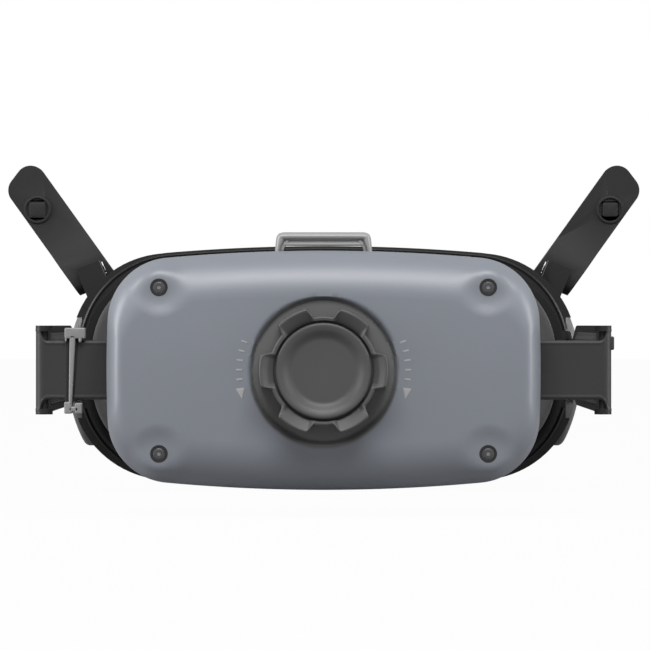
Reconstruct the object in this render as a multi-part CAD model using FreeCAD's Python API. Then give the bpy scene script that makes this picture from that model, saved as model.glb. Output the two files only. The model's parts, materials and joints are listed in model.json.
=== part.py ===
import FreeCAD, Part
import math
import os

# Video goggles for flying model aircraft, with a headband that carries the battery at the
# back of the head.  The origin is on the flat underside of the goggles, +Y is the way the
# wearer looks, +X is the wearer's right and +Z is up.  All sizes are millimetres.

V = FreeCAD.Vector
X_AXIS, Y_AXIS, Z_AXIS = V(1, 0, 0), V(0, 1, 0), V(0, 0, 1)

# ---------------------------------------------------------------- driving dimensions
GAP = 0.3                    # running gap between parts that move past each other
FIT = 0.06                   # radial clearance of a pin or shaft in its hole
WALL = 2.2                   # moulded wall of the housings
BUTTON_TRAVEL = 0.6

OUTSIDE = 400.0              # beyond every piece, for cutters that pass right through

# Cushion outlines: half width, half height, then the radii of the long edges, of the ends
# and of the corners.
FLANGE_OUTLINE = (82.5, 39.0, 600.0, 65.0, 32.0)
CHASSIS_OUTLINE = (79.5, 37.6, 600.0, 62.0, 31.0)
FRONT_OUTLINE = (60.5, 36.0, 600.0, 160.0, 20.0)
PACK_OUTLINE = (60.4, 33.3, 300.0, 300.0, 16.0)

# Goggles
BODY_Z = 39.4                # middle height of the goggles
FLANGE_Y = (-30.0, -26.0)    # flange that carries the face gasket
CHASSIS_FRONT_Y = -3.0
PANEL_Y = 42.0               # joint between front shell and front panel
PANEL_FACE_Y = 48.0
PANEL_CURL = 5.0
FACE_RADIUS = 175.0          # how the foam wraps round the face
FACE_Y = -40.5               # foam surface over the nose bridge
FOAM_DEPTH = 6.0
GASKET_INSET, GASKET_WIDTH = 5.2, 9.0
NOSE_HALF, NOSE_TOP, NOSE_SPREAD, NOSE_Y = 12.0, 24.0, 8.0, -16.0
FOOT_RADIUS, FOOT_SINK = 4.0, 6.0
FEET = [(0.0, 0.0), (22.0, -16.0), (40.0, 30.0), (-22.0, -16.0), (-40.0, 30.0)]

# Optics
EYE_X = 32.0                 # half the distance between the eyes
EYE_Z = 41.0
BULKHEAD_Y = (-13.0, -11.0)
BARREL_RADIUS, BARREL_BORE = 15.9, 14.7
BARREL_Y = (-10.0, 7.0)
LENS_Y = -6.0
LENS_EDGE, LENS_BULGE = 1.6, 2.4
IPD_TRAVEL, FOCUS_TRAVEL = 4.0, 2.5
CARRIAGE_HALF_X, CARRIAGE_Y = 17.6, (-9.0, 20.0)
CARRIAGE_Z = (16.6, 63.4)
ROD_RADIUS, ROD_OFFSET, ROD_Y = 1.5, 20.0, -4.0
EAR_X = (54.0, 55.8)         # lugs that hold the ends of the guide rods
EAR_WALL, EAR_MIDDLE = 1.2, 2.0
DISPLAY_SIZE, DISPLAY_THICK = 27.0, 1.8
FOCUS_AXIS_Y, FOCUS_PITCH_RADIUS, FOCUS_TEETH = 12.0, 3.0, 10
FOCUS_KNOB_RADIUS, FOCUS_KNOB_Z = 5.0, (0.8, 7.5)
FOCUS_NECK, FOCUS_STEM, FOCUS_FLOOR = 2.6, 1.6, 2.4
PROXIMITY_HALF, PROXIMITY_RISE = 3.0, (8.0, 14.0)   # window over the nose, above the eye line

# Electronics
BOARD_Y, BOARD_THICK = 25.0, 1.6
BOARD_HALF = (50.0, 26.0)
FAN_SIZE, FAN_DEPTH, FAN_BLADES = 40.0, 7.0, 9
SINK_BASE, SINK_FIN, SINK_FINS = 1.6, 3.6, 9
FAN_HUB, FAN_WALL = 7.0, 1.2
GRILLE_RADIUS, GRILLE_RIM, GRILLE_BARS = 17.0, 1.5, 6
BOARD_POST = 1.5
KEY_X, KEY_Y, KEY_RADIUS, KEY_RISE = (22.0, 34.0), 18.0, 3.2, 1.0
KEY_BOARD_Z, KEY_BOARD_HALF, KEY_POST_X = (65.0, 66.2), (13.0, 6.0), 11.0
KEY_STEM_Z = 69.0
PORT_Y, PORT_Z, PORT_DEPTH, PORT_HALF = 12.0, 30.0, 5.5, (1.7, 4.6)

# Headband.  Depths in y are counted from the joint between the two halves of the case.
BAND_Z = 40.3                # middle height of the headband
PACK_RIM_Y = -252.0
PACK_WALL = 1.8
PACK_ROLL_Y, PACK_FACE_Y = PACK_RIM_Y - 1.5, PACK_RIM_Y - 12.0
PACK_ROLL = (5.0, 13.0)      # width of the curl at the ends, and along top and bottom
COVER_ROLL_Y = PACK_RIM_Y + 14.0
COVER_ROLL = (4.0, 7.0)
HEAD_RADIUS = 300.0          # curve of the inner case
HEAD_Y = PACK_RIM_Y + 16.0
COVER_DEPTH = 10.0           # how far the inner case reaches past HEAD_Y before the curve cuts it
PAD_DEPTH, PAD_INSET, PAD_GAP = 4.0, 5.0, 0.2
SCREW_X, SCREW_Z = 45.5, 23.0
SCREW_HEAD_RADIUS, SCREW_HEAD, SCREW_RADIUS = 2.3, 2.2, 1.3
SCREW_TIP_Y, SCREW_BOSS = PACK_RIM_Y + 11.0, 1.6
POCKET_RADIUS, POCKET_FLOOR_Y, POCKET_TAPER = 8.3, PACK_FACE_Y + 2.2, 2.1
SCREW_SEAT_Y = POCKET_FLOOR_Y + 2.6
CELL_RADIUS, CELL_LENGTH, CELL_OFFSET, CELL_Y = 9.1, 65.0, 20.4, PACK_RIM_Y + 4.5
CELL_TIP = 3.0
PACK_BOARD_X, PACK_BOARD_HALF, PACK_BOARD_THICK = (13.0, 52.0), 8.5, 1.4
PACK_BOARD_Y = (PACK_RIM_Y, PACK_RIM_Y + PACK_BOARD_THICK)
PACK_POST_X = (22.0, 25.0)
POWER_X, POWER_Y = CELL_LENGTH / 2 + 5.5, PACK_RIM_Y + 5.5
POWER_RADIUS, POWER_STEM_Z = 2.8, 68.2

# Tightening knob
KNOB_Y = (PACK_FACE_Y - 12.0, PACK_FACE_Y + 0.6)
KNOB_LOBES = 6
LOBE_RADIUS, NOTCH_RADIUS, LOBE_HALF_ANGLE, FLANK_ANGLE = 17.7, 14.9, 13.0, 5.0
KNOB_SLOPE, KNOB_SEAT, KNOB_RIM = 3.0, 3.0, 1.2
CAP_RADIUS, CAP_GAP, CAP_PROUD = 13.2, 0.7, 0.3
DISH_RADII, DISH_DEPTH = (12.4, 9.3), 1.5
COLLAR_RADIUS, COLLAR_DEPTH = 20.3, 1.5
SHAFT_RADIUS, SHAFT_END_Y, BEARING = 3.0, PACK_RIM_Y + 13.4, 2.0
MARK_RADIUS, MARK_DEPTH, MARK_TICKS = 23.4, 0.35, 5
WHEEL_RADIUS, WHEEL_Y, WHEEL_NOTCHES = 9.5, (PACK_RIM_Y - 5.0, PACK_RIM_Y - 3.2), 24
SPRING_X, SPRING_THICK, SPRING_HALF = WHEEL_RADIUS + 1.6, 0.6, 8.5

# Rack and pinion that draws both straps in
TOOTH_MODULE, PINION_TEETH, PRESSURE_ANGLE = 0.9, 12, 25.0
ADDENDUM, DEDENDUM, BACKLASH = 0.63, 0.86, 0.16
PINION_Y = (PACK_RIM_Y + 5.0, PACK_RIM_Y + 9.6)
RACK_THICK, RACK_HALF_HEIGHT = 1.6, 9.7
RACK_Y = (PACK_RIM_Y + 5.5, PACK_RIM_Y + 7.4)    # outer faces of the left and right tongues
RACK_SLOT = (-13.2, 16.5)    # left rack; the right one is turned half round
RACK_TIP = 20.0
RAIL_THICK = 1.0
CLAMP_X, CLAMP_Y, CLAMP_WALL = (34.0, 46.0), (PACK_RIM_Y + 4.7, PACK_RIM_Y + 9.3), 2.0

# Straps and side arms
STRAP_Y = (PACK_RIM_Y + 6.0, PACK_RIM_Y + 8.0)
STRAP_HEIGHT = 16.6
BUCKLE_X, BUCKLE_Y, BUCKLE_HEIGHT = (67.6, 72.5), (PACK_RIM_Y + 4.5, PACK_RIM_Y + 9.5), 24.5
CORNER_X, CORNER_Y, CORNER_RADIUS, CORNER_PIN = 78.3, PACK_RIM_Y + 8.4, 2.4, 1.2
ARM_HEIGHT, ARM_THICK, ARM_LUG = 24.9, 2.2, 1.6
NECK_HEIGHT, NECK_Y = 16.0, (-88.0, -50.0)
LINER_Y, LINER_HEIGHT, LINER_SINK, LINER_THICK = (-205.0, -100.0), 21.0, 0.6, 1.2
LINER_RIBS, RIB_HALF, RIB_RISE = 5, 1.2, 0.5

# Temple pivot
PIVOT_Y, PIVOT_RADIUS, PIVOT_SLACK = -18.0, 6.0, 0.6
EYE_RADIUS, EYE_PLATE = 10.0, (79.4, 81.2)
TEMPLE_OVAL = (15.0, 21.0)
TEMPLE_FLOOR_X, TEMPLE_CAP_X = 78.4, (82.2, 83.4)
TEMPLE_SKIRT = 1.5
TILT_UP, TILT_DOWN = 12.0, 35.0
SEAT_Y, SEAT_Z = PIVOT_RADIUS + 4.0, PIVOT_RADIUS + 6.0   # solid boss behind the pivot

# Folding antennas
ANTENNA_HINGE = (75.6, 2.5, 68.4)
HINGE_TILT = 21.8            # hinge axis against the horizontal
ANTENNA_TILT = 35.6          # antenna against the vertical
BLADE_INNER, BLADE_OUTER = (-6.4, 45.4), (7.4, 41.1)     # each edge's offset and its length
BLADE_CORNER = 5.0
BLADE_THICK, ROOT_THICK, ROOT_BELOW = 4.5, 7.0, 12.0
ROOT_SLOPE = (7.6, 12.7)     # start and end of the slope from root to blade
EAR_GAP, ANTENNA_PIN = 4.3, 1.2
BUTTON_AT = (2.3, 29.5)      # ring's offset to the outer side, and its place along the blade
RING_RADIUS, RING_WALL, RING_RAISE, PLUG_HALF = 4.6, 0.8, 0.5, 2.7
ANTENNA_PIN_REACH = 5.8
BRACKET_DROP, BRACKET_LIP = 9.0, 1.7    # bracket's depth below the hinge, and its rise over it

# Loop for a strap over the head
LOOP_HALF, LOOP_BAR, LOOP_TOP_Z, LOOP_SIDE = 13.7, 2.65, 78.8, 2.3
LOOP_Y = (PACK_RIM_Y + 0.6, PACK_RIM_Y + 4.4)
CHANNEL_Y, CHANNEL_FLOOR_Z = (PACK_RIM_Y - 1.2, PACK_RIM_Y + 6.0), 71.3


# ---------------------------------------------------------------- small helpers
def box(x, y, z):
    """Block between the two limits given for each direction."""
    return Part.makeBox(x[1] - x[0], y[1] - y[0], z[1] - z[0], V(x[0], y[0], z[0]))


def rod(radius, start, end):
    """Cylinder from one point to another."""
    return Part.makeCylinder(radius, (end - start).Length, start, end - start)


def cone(r_start, r_end, start, end):
    return Part.makeCone(r_start, r_end, (end - start).Length, start, end - start)


def fused(shapes):
    """One solid from shapes that touch or overlap."""
    whole = shapes[0].multiFuse(shapes[1:]) if len(shapes) > 1 else shapes[0]
    return whole.removeSplitter()


def mirrored(shape):
    """The same piece for the wearer's left."""
    return shape.mirror(V(0, 0, 0), X_AXIS)


def at_band(x, y, z=0.0):
    """Point given by its height over the middle of the headband."""
    return V(x, y, BAND_Z + z)


def arc(a, b, c):
    return Part.Arc(a, b, c).toShape()


def line(a, b):
    return Part.makeLine(a, b)


def prism(points, direction):
    """Straight-sided prism on a closed outline of points."""
    return Part.Face(Part.makePolygon(points + [points[0]])).extrude(direction)


def turned(profile, origin, axis):
    """Solid of revolution of a closed outline of points."""
    face = Part.Face(Part.makePolygon(profile + [profile[0]]))
    return face.revolve(origin, axis, 360)


def cushion_wire(outline, y, z_mid, inset=(0.0, 0.0)):
    """Cushion outline of eight tangent arcs at depth y: two long edges, two ends and four
    corners whose circles touch their neighbours.  inset takes it in at the ends and along
    the long edges."""
    half_w, half_h, r_long, r_end, r_corner = outline
    half_w, half_h = half_w - inset[0], half_h - inset[1]
    shrink = min(inset)
    r_long, r_end, r_corner = r_long - shrink, r_end - shrink, r_corner - shrink
    long_c, end_c = (0.0, half_h - r_long), (half_w - r_end, 0.0)
    reach_long, reach_end = r_long - r_corner, r_end - r_corner
    dx, dz = end_c[0] - long_c[0], end_c[1] - long_c[1]
    apart = math.hypot(dx, dz)
    along = (reach_long ** 2 - reach_end ** 2 + apart ** 2) / (2 * apart)
    off = math.sqrt(reach_long ** 2 - along ** 2)
    corner = (long_c[0] + (along * dx + off * dz) / apart,
              long_c[1] + (along * dz - off * dx) / apart)

    def on(centre, radius, toward):
        length = math.hypot(toward[0] - centre[0], toward[1] - centre[1])
        return (centre[0] + radius * (toward[0] - centre[0]) / length,
                centre[1] + radius * (toward[1] - centre[1]) / length)

    top, side = on(long_c, r_long, corner), on(end_c, r_end, corner)
    middle = ((top[0] + side[0]) / 2, (top[1] + side[1]) / 2)
    bulge = on(corner, r_corner, middle)

    def at(point, sx, sz):
        return V(sx * point[0], y, z_mid + sz * point[1])

    edges = []
    for sx, sz in ((1, 1), (1, -1), (-1, -1), (-1, 1)):
        start, end = (top, side) if sx * sz > 0 else (side, top)
        edges.append(arc(at(start, sx, sz), at(bulge, sx, sz), at(end, sx, sz)))
        if sx * sz > 0:
            edges.append(arc(at(side, sx, 1 * sz), V(sx * half_w, y, z_mid), at(side, sx, -sz)))
        else:
            edges.append(arc(at(top, sx, sz), V(0, y, z_mid + sz * half_h), at(top, -sx, sz)))
    return Part.Wire(edges)


def cushion(outline, y, z_mid, inset=0.0):
    """Straight block with a cushion outline between the two depths in y."""
    face = Part.Face(cushion_wire(outline, y[0], z_mid, (inset, inset)))
    return face.extrude(V(0, y[1] - y[0], 0))


def curled_block(outline, rim_y, roll_y, face_y, roll, z_mid, inset=0.0):
    """Cushion block whose far edge curls over in a quarter ellipse to a flat face."""
    steps = [0, 22.5, 45, 67.5, 90]
    wires = []
    for angle in (math.radians(s) for s in steps):
        drop = 1 - math.cos(angle)
        wires.append(cushion_wire(outline, roll_y + (face_y - roll_y) * math.sin(angle), z_mid,
                                  (inset + roll[0] * drop, inset + roll[1] * drop)))
    curl = Part.makeLoft(wires, True, False)
    return cushion(outline, (rim_y, roll_y), z_mid, inset).fuse(curl).removeSplitter()


def ring(outer_radius, inner_radius, start, end):
    return rod(outer_radius, start, end).cut(rod(inner_radius, start, end))


PARTS = {}


def keep(name, shape):
    PARTS[name] = shape


def keep_pair(name, right_shape):
    """The right piece, and its mirror image for the left."""
    keep(name + "_right", right_shape)
    keep(name + "_left", mirrored(right_shape))


def stadium_x(half_y, half_z, x, y_mid, z_mid):
    """Upright oval block whose ends are half rounds, between two limits in x."""
    rise = half_z - half_y
    block = box(x, (y_mid - half_y, y_mid + half_y), (z_mid - rise, z_mid + rise))
    ends = [rod(half_y, V(x[0], y_mid, z_mid + s * rise), V(x[1], y_mid, z_mid + s * rise))
            for s in (-1, 1)]
    return fused([block] + ends)


def slot_y(half_x, half_z, x_mid, z_mid, y):
    """Oblong block with rounded ends left and right, between two limits in y."""
    run = half_x - half_z
    block = box((x_mid - run, x_mid + run), y, (z_mid - half_z, z_mid + half_z))
    ends = [rod(half_z, V(x_mid + s * run, y[0], z_mid), V(x_mid + s * run, y[1], z_mid))
            for s in (-1, 1)]
    return fused([block] + ends)


def nose_arch(grow, y):
    """Arch that clears the wearer's nose, open below."""
    half, top, spring = NOSE_HALF + grow, NOSE_TOP + grow, NOSE_TOP - NOSE_HALF
    foot = half + NOSE_SPREAD
    edges = [arc(V(-half, y[0], spring), V(0, y[0], top), V(half, y[0], spring)),
             line(V(half, y[0], spring), V(foot, y[0], -spring)),
             line(V(foot, y[0], -spring), V(-foot, y[0], -spring)),
             line(V(-foot, y[0], -spring), V(-half, y[0], spring))]
    return Part.Face(Part.Wire(edges)).extrude(V(0, y[1] - y[0], 0))


def upright(radius, x, y, z):
    return rod(radius, V(x, y, z[0]), V(x, y, z[1]))


def face_cylinder(radius):
    """Upright cylinder about the middle of the wearer's head."""
    return upright(radius, 0, FACE_Y - FACE_RADIUS, (-OUTSIDE, OUTSIDE))


def gear(module, teeth, angle, addendum, dedendum, backlash, thick):
    """Spur gear about +Z at the origin, a tooth centred on +Y, with involute flanks."""
    pitch = module * teeth / 2
    base = pitch * math.cos(math.radians(angle))
    tip, root = pitch + addendum, pitch - dedendum

    def involute(radius):
        roll = math.sqrt(max(0.0, (radius / base) ** 2 - 1))
        return roll - math.atan(roll)

    half = math.pi / (2 * teeth) - backlash / (2 * pitch) + involute(pitch)
    flank = [max(root, base), pitch, tip]
    profile = []
    for tooth in range(teeth):
        middle = math.pi / 2 - 2 * math.pi * tooth / teeth
        left = [(root, half)] + [(r, half - involute(r)) for r in flank]
        for radius, turn in left + [(r, -a) for r, a in reversed(left)]:
            profile.append(V(radius * math.cos(middle + turn), radius * math.sin(middle + turn), 0))
    clean = [p for i, p in enumerate(profile) if (p - profile[i - 1]).Length > 1e-6]
    return prism(clean, V(0, 0, thick))


def rack_teeth(module, angle, addendum, dedendum, backlash, x, z_line, z_back, y):
    """Row of straight-flanked teeth that point down from a back, a gap centred on x = 0."""
    pitch, slope = math.pi * module, math.tan(math.radians(angle))
    teeth = []
    for k in range(math.ceil(x[0] / pitch - 0.5), math.floor(x[1] / pitch - 0.5) + 1):
        middle = (k + 0.5) * pitch
        half = pitch / 4 - backlash / 2
        wide, narrow = half + dedendum * slope, half - addendum * slope
        if middle - wide < x[0] or middle + wide > x[1]:
            continue
        teeth.append(prism([V(middle - wide, y[0], z_back), V(middle - wide, y[0], z_line + dedendum),
                            V(middle - narrow, y[0], z_line - addendum),
                            V(middle + narrow, y[0], z_line - addendum),
                            V(middle + wide, y[0], z_line + dedendum),
                            V(middle + wide, y[0], z_back)], V(0, y[1] - y[0], 0)))
    return teeth


# ---------------------------------------------------------------- goggles: housings
NOSE_OUT = (-OUTSIDE, NOSE_Y)


def chassis_block():
    return fused([cushion(FLANGE_OUTLINE, FLANGE_Y, BODY_Z),
                  cushion(CHASSIS_OUTLINE, (FLANGE_Y[1], CHASSIS_FRONT_Y), BODY_Z)])


def temple_recess():
    """Oval recess in the side of the chassis that the temple cap fills."""
    return stadium_x(TEMPLE_OVAL[0], TEMPLE_OVAL[1], (TEMPLE_FLOOR_X, OUTSIDE), PIVOT_Y, BAND_Z)


def pivot_seat():
    """Solid behind the recess that holds the pivot pin."""
    return stadium_x(SEAT_Y, SEAT_Z, (TEMPLE_FLOOR_X - 2 * WALL, OUTSIDE), PIVOT_Y, BAND_Z)


def chassis():
    """Rear moulding: flange, side walls, nose arch and the step to the front shell."""
    cavity_y = (FLANGE_Y[0] - 1, CHASSIS_FRONT_Y - WALL)
    cavity = cushion(CHASSIS_OUTLINE, cavity_y, BODY_Z, WALL)
    cavity = cavity.cut(nose_arch(WALL, (NOSE_OUT[0], NOSE_Y + WALL)))
    cavity = cavity.cut([pivot_seat(), mirrored(pivot_seat())])
    window = cushion(FRONT_OUTLINE, (cavity_y[1] - 1, CHASSIS_FRONT_Y + 1), BODY_Z, WALL)
    bore = rod(PIVOT_RADIUS, at_band(TEMPLE_FLOOR_X - 3 * WALL, PIVOT_Y), at_band(OUTSIDE, PIVOT_Y))
    cuts = [nose_arch(0, NOSE_OUT), cavity, window]
    for piece in (temple_recess(), bore, arm_sweep()):
        cuts += [piece, mirrored(piece)]
    return chassis_block().cut(cuts)


def front_shell():
    """Deep tube of the front body with the slots and holes of its controls."""
    y = (CHASSIS_FRONT_Y, PANEL_Y)
    shell = cushion(FRONT_OUTLINE, y, BODY_Z).cut(cushion(FRONT_OUTLINE, (y[0] - 1, y[1] + 1),
                                                          BODY_Z, WALL))
    cuts = []
    for side in (-1, 1):
        half = FOCUS_KNOB_RADIUS + 2 * GAP
        x, z = side * EYE_X, (-OUTSIDE, CARRIAGE_Z[0])
        cuts.append(box((x - IPD_TRAVEL, x + IPD_TRAVEL), (FOCUS_AXIS_Y - half, FOCUS_AXIS_Y + half), z))
        cuts += [upright(half, x + s * IPD_TRAVEL, FOCUS_AXIS_Y, z) for s in (-1, 1)]
    cuts += [upright(KEY_RADIUS + GAP, x, KEY_Y, (BODY_Z, OUTSIDE)) for x in KEY_X]
    cuts.append(port_block(0.0))
    key_mid, post_y = sum(KEY_X) / 2, KEY_BOARD_HALF[1] - BOARD_POST
    posts = [upright(BOARD_POST, key_mid + sx * KEY_POST_X, KEY_Y + sy * post_y,
                     (KEY_BOARD_Z[1], BODY_Z + FRONT_OUTLINE[1] - WALL))
             for sx in (-1, 1) for sy in (-1, 1)]
    inner = cushion(FRONT_OUTLINE, y, BODY_Z, WALL / 2)
    return fused([shell.cut(cuts)] + [p.common(inner) for p in posts])


def front_panel():
    """Smooth curled front cover with a round vent."""
    outer = curled_block(FRONT_OUTLINE, PANEL_Y, PANEL_Y + 0.5, PANEL_FACE_Y,
                         (PANEL_CURL, PANEL_CURL), BODY_Z)
    inner = curled_block(FRONT_OUTLINE, PANEL_Y - 1, PANEL_Y + 0.5 - 0.4, PANEL_FACE_Y - WALL,
                         (PANEL_CURL, PANEL_CURL), BODY_Z, WALL)
    vent = rod(GRILLE_RADIUS, V(0, PANEL_Y, BODY_Z), V(0, PANEL_FACE_Y + 1, BODY_Z))
    return outer.cut([inner, vent])


def vent_grille():
    """Round grille of level bars in a rim."""
    y = (PANEL_FACE_Y - WALL, PANEL_FACE_Y - 0.4)
    disc = rod(GRILLE_RADIUS, V(0, y[0], BODY_Z), V(0, y[1], BODY_Z))
    clear = GRILLE_RADIUS - GRILLE_RIM
    opening = rod(clear, V(0, y[0] - 1, BODY_Z), V(0, y[1] + 1, BODY_Z))
    pitch = 2 * clear / (GRILLE_BARS + 0.5)
    slots = []
    for k in range(GRILLE_BARS + 1):
        low = BODY_Z - clear + k * pitch
        slots.append(box((-GRILLE_RADIUS, GRILLE_RADIUS), (y[0] - 1, y[1] + 1),
                         (low, low + pitch / 2)).common(opening))
    return disc.cut(slots)


def foot_pads():
    """Five rubber feet shaped to the curved underside."""
    shells = [chassis_block(), cushion(FRONT_OUTLINE, (CHASSIS_FRONT_Y, PANEL_Y), BODY_Z)]
    top = BODY_Z - FRONT_OUTLINE[1] + FOOT_SINK
    feet = [upright(FOOT_RADIUS, x, y, (0, top)).cut(shells) for x, y in FEET]
    return Part.makeCompound([solid for foot in feet for solid in foot.Solids])


def face_gasket():
    """Flexible ring between the flange and the foam, arched over the nose."""
    y = (FACE_Y - FACE_RADIUS, FLANGE_Y[0])
    outer = cushion(FLANGE_OUTLINE, y, BODY_Z, GASKET_INSET).cut(nose_arch(0, NOSE_OUT))
    inner = cushion(FLANGE_OUTLINE, (y[0] - 1, y[1] + 1), BODY_Z, GASKET_INSET + GASKET_WIDTH)
    inner = inner.cut(nose_arch(GASKET_WIDTH, NOSE_OUT))
    return outer.cut(inner).cut(face_cylinder(FACE_RADIUS + FOAM_DEPTH + PAD_GAP))


def face_foam():
    """Foam that touches the face."""
    y = (FACE_Y - FACE_RADIUS, FLANGE_Y[0])
    outer = cushion(FLANGE_OUTLINE, y, BODY_Z, GASKET_INSET + 0.5).cut(nose_arch(0.5, NOSE_OUT))
    inner = cushion(FLANGE_OUTLINE, (y[0] - 1, y[1] + 1), BODY_Z, GASKET_INSET + GASKET_WIDTH - 1)
    inner = inner.cut(nose_arch(GASKET_WIDTH - 1, NOSE_OUT))
    band = face_cylinder(FACE_RADIUS + FOAM_DEPTH).cut(face_cylinder(FACE_RADIUS))
    return outer.cut(inner).common(band)


# ---------------------------------------------------------------- goggles: optics
RODS = [(ROD_Y, EYE_Z + s * ROD_OFFSET) for s in (-1, 1)]


def bulkhead():
    """Plate with the two eye windows, and lugs that hold the guide rods."""
    plate = cushion(CHASSIS_OUTLINE, BULKHEAD_Y, BODY_Z, WALL)
    floor = BODY_Z - CHASSIS_OUTLINE[1] + 2 * WALL
    plate = plate.cut(box((-OUTSIDE, OUTSIDE), BULKHEAD_Y, (-OUTSIDE, floor)))
    for side in (-1, 1):
        plate = plate.cut(slot_y(BARREL_RADIUS + IPD_TRAVEL + 3 * GAP, BARREL_RADIUS + 2 * GAP,
                                 side * EYE_X, EYE_Z, (-20, 0)))
    plate = plate.cut([pivot_seat(), mirrored(pivot_seat())])
    lug = ROD_RADIUS + EAR_WALL
    inside = cushion(FRONT_OUTLINE, (BULKHEAD_Y[1], CARRIAGE_Y[1]), BODY_Z, WALL + GAP)
    lugs = []
    for y, z in RODS:
        for x in ((-EAR_X[1], -EAR_X[0]), (-EAR_MIDDLE, EAR_MIDDLE), EAR_X):
            lugs.append(box(x, (BULKHEAD_Y[1], y + lug), (z - lug, z + lug)).common(inside))
    holes = [rod(ROD_RADIUS, V(-EAR_X[1], y, z), V(EAR_X[1], y, z)) for y, z in RODS]
    return fused([plate] + lugs).cut(holes + [proximity_window()])


def guide_rods():
    reach = (EAR_X[0] + EAR_X[1]) / 2
    return Part.makeCompound([rod(ROD_RADIUS, V(-reach, y, z), V(reach, y, z)) for y, z in RODS])


def carriage():
    """Right carriage that slides on the rods and holds the barrel, display and focus knob."""
    x = (EYE_X - CARRIAGE_HALF_X, EYE_X + CARRIAGE_HALF_X)
    body = box(x, CARRIAGE_Y, CARRIAGE_Z)
    upper = [e for e in body.Edges if abs(e.tangentAt(e.FirstParameter).y) > 0.99]
    body = body.makeFillet(4.0, upper)
    bore = rod(BARREL_RADIUS + FIT, V(EYE_X, -OUTSIDE, EYE_Z), V(EYE_X, OUTSIDE, EYE_Z))
    holes = [rod(ROD_RADIUS + FIT, V(0, y, z), V(OUTSIDE, y, z)) for y, z in RODS]
    reach = FOCUS_PITCH_RADIUS + 2.6
    pocket = box((EYE_X - reach - 3, EYE_X + reach), (ROD_Y + 2 * ROD_RADIUS, OUTSIDE),
                 (CARRIAGE_Z[0] + FOCUS_FLOOR, EYE_Z))
    stem = upright(FOCUS_STEM + FIT, EYE_X, FOCUS_AXIS_Y, (0, CARRIAGE_Z[0] + 2 * FOCUS_FLOOR))
    return body.cut([bore, pocket, stem] + holes)


def lens_barrel():
    """Tube for the eye lens with the toothed leg that the focus pinion drives."""
    tube = ring(BARREL_RADIUS, BARREL_BORE, V(EYE_X, BARREL_Y[0], EYE_Z), V(EYE_X, BARREL_Y[1], EYE_Z))
    tube = tube.fuse(ring(BARREL_BORE, BARREL_BORE - 1, V(EYE_X, LENS_Y + LENS_EDGE / 2, EYE_Z),
                          V(EYE_X, LENS_Y + LENS_EDGE / 2 + 1, EYE_Z)))
    line_x = EYE_X - FOCUS_PITCH_RADIUS
    z = (CARRIAGE_Z[0] + FOCUS_FLOOR + GAP, CARRIAGE_Z[0] + 2 * FOCUS_FLOOR)
    leg_x = (line_x - 4.0, line_x - 1.0)
    leg_y = (BARREL_Y[1] - 4, FOCUS_AXIS_Y + FOCUS_TRAVEL + 4.5)
    leg = box(leg_x, leg_y, z)
    hanger = box(leg_x, (BARREL_Y[1] - 4, BARREL_Y[1]), (z[0], EYE_Z))
    hanger = hanger.cut(rod(BARREL_BORE, V(EYE_X, -OUTSIDE, EYE_Z), V(EYE_X, OUTSIDE, EYE_Z)))
    module = 2 * FOCUS_PITCH_RADIUS / FOCUS_TEETH
    teeth = rack_teeth(module, PRESSURE_ANGLE, 0.7 * module, 0.9 * module, BACKLASH,
                       (leg_y[0] - FOCUS_AXIS_Y + 4, leg_y[1] - FOCUS_AXIS_Y), 0, 1.2, (0, z[1] - z[0]))
    placed = []
    for tooth in teeth:
        tooth.rotate(V(0, 0, 0), X_AXIS, 90)
        tooth.rotate(V(0, 0, 0), Z_AXIS, -90)
        tooth.translate(V(line_x, FOCUS_AXIS_Y, z[0]))
        placed.append(tooth)
    return fused([tube, leg, hanger] + placed)


def eye_lens():
    """Glass with two bulging faces, and an edge that stands against the barrel's lip."""
    half, radius, lip = LENS_EDGE / 2, BARREL_BORE, BARREL_BORE - 1

    def at(out, along):
        return V(EYE_X + out, LENS_Y + along, EYE_Z)

    def bulge(out, edge):
        sphere = (edge ** 2 + LENS_BULGE ** 2) / (2 * LENS_BULGE)
        return math.sqrt(sphere ** 2 - out ** 2) - (sphere - LENS_BULGE)

    edges = [arc(at(0, -half - LENS_BULGE), at(radius / 2, -half - bulge(radius / 2, radius)),
                 at(radius, -half)),
             line(at(radius, -half), at(radius, half)), line(at(radius, half), at(lip, half)),
             arc(at(lip, half), at(lip / 2, half + bulge(lip / 2, lip)), at(0, half + LENS_BULGE)),
             line(at(0, half + LENS_BULGE), at(0, -half - LENS_BULGE))]
    return Part.Face(Part.Wire(edges)).revolve(at(0, 0), Y_AXIS, 360)


def display():
    half = DISPLAY_SIZE / 2
    return box((EYE_X - half, EYE_X + half), (CARRIAGE_Y[1], CARRIAGE_Y[1] + DISPLAY_THICK),
               (EYE_Z - half, EYE_Z + half))


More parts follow.
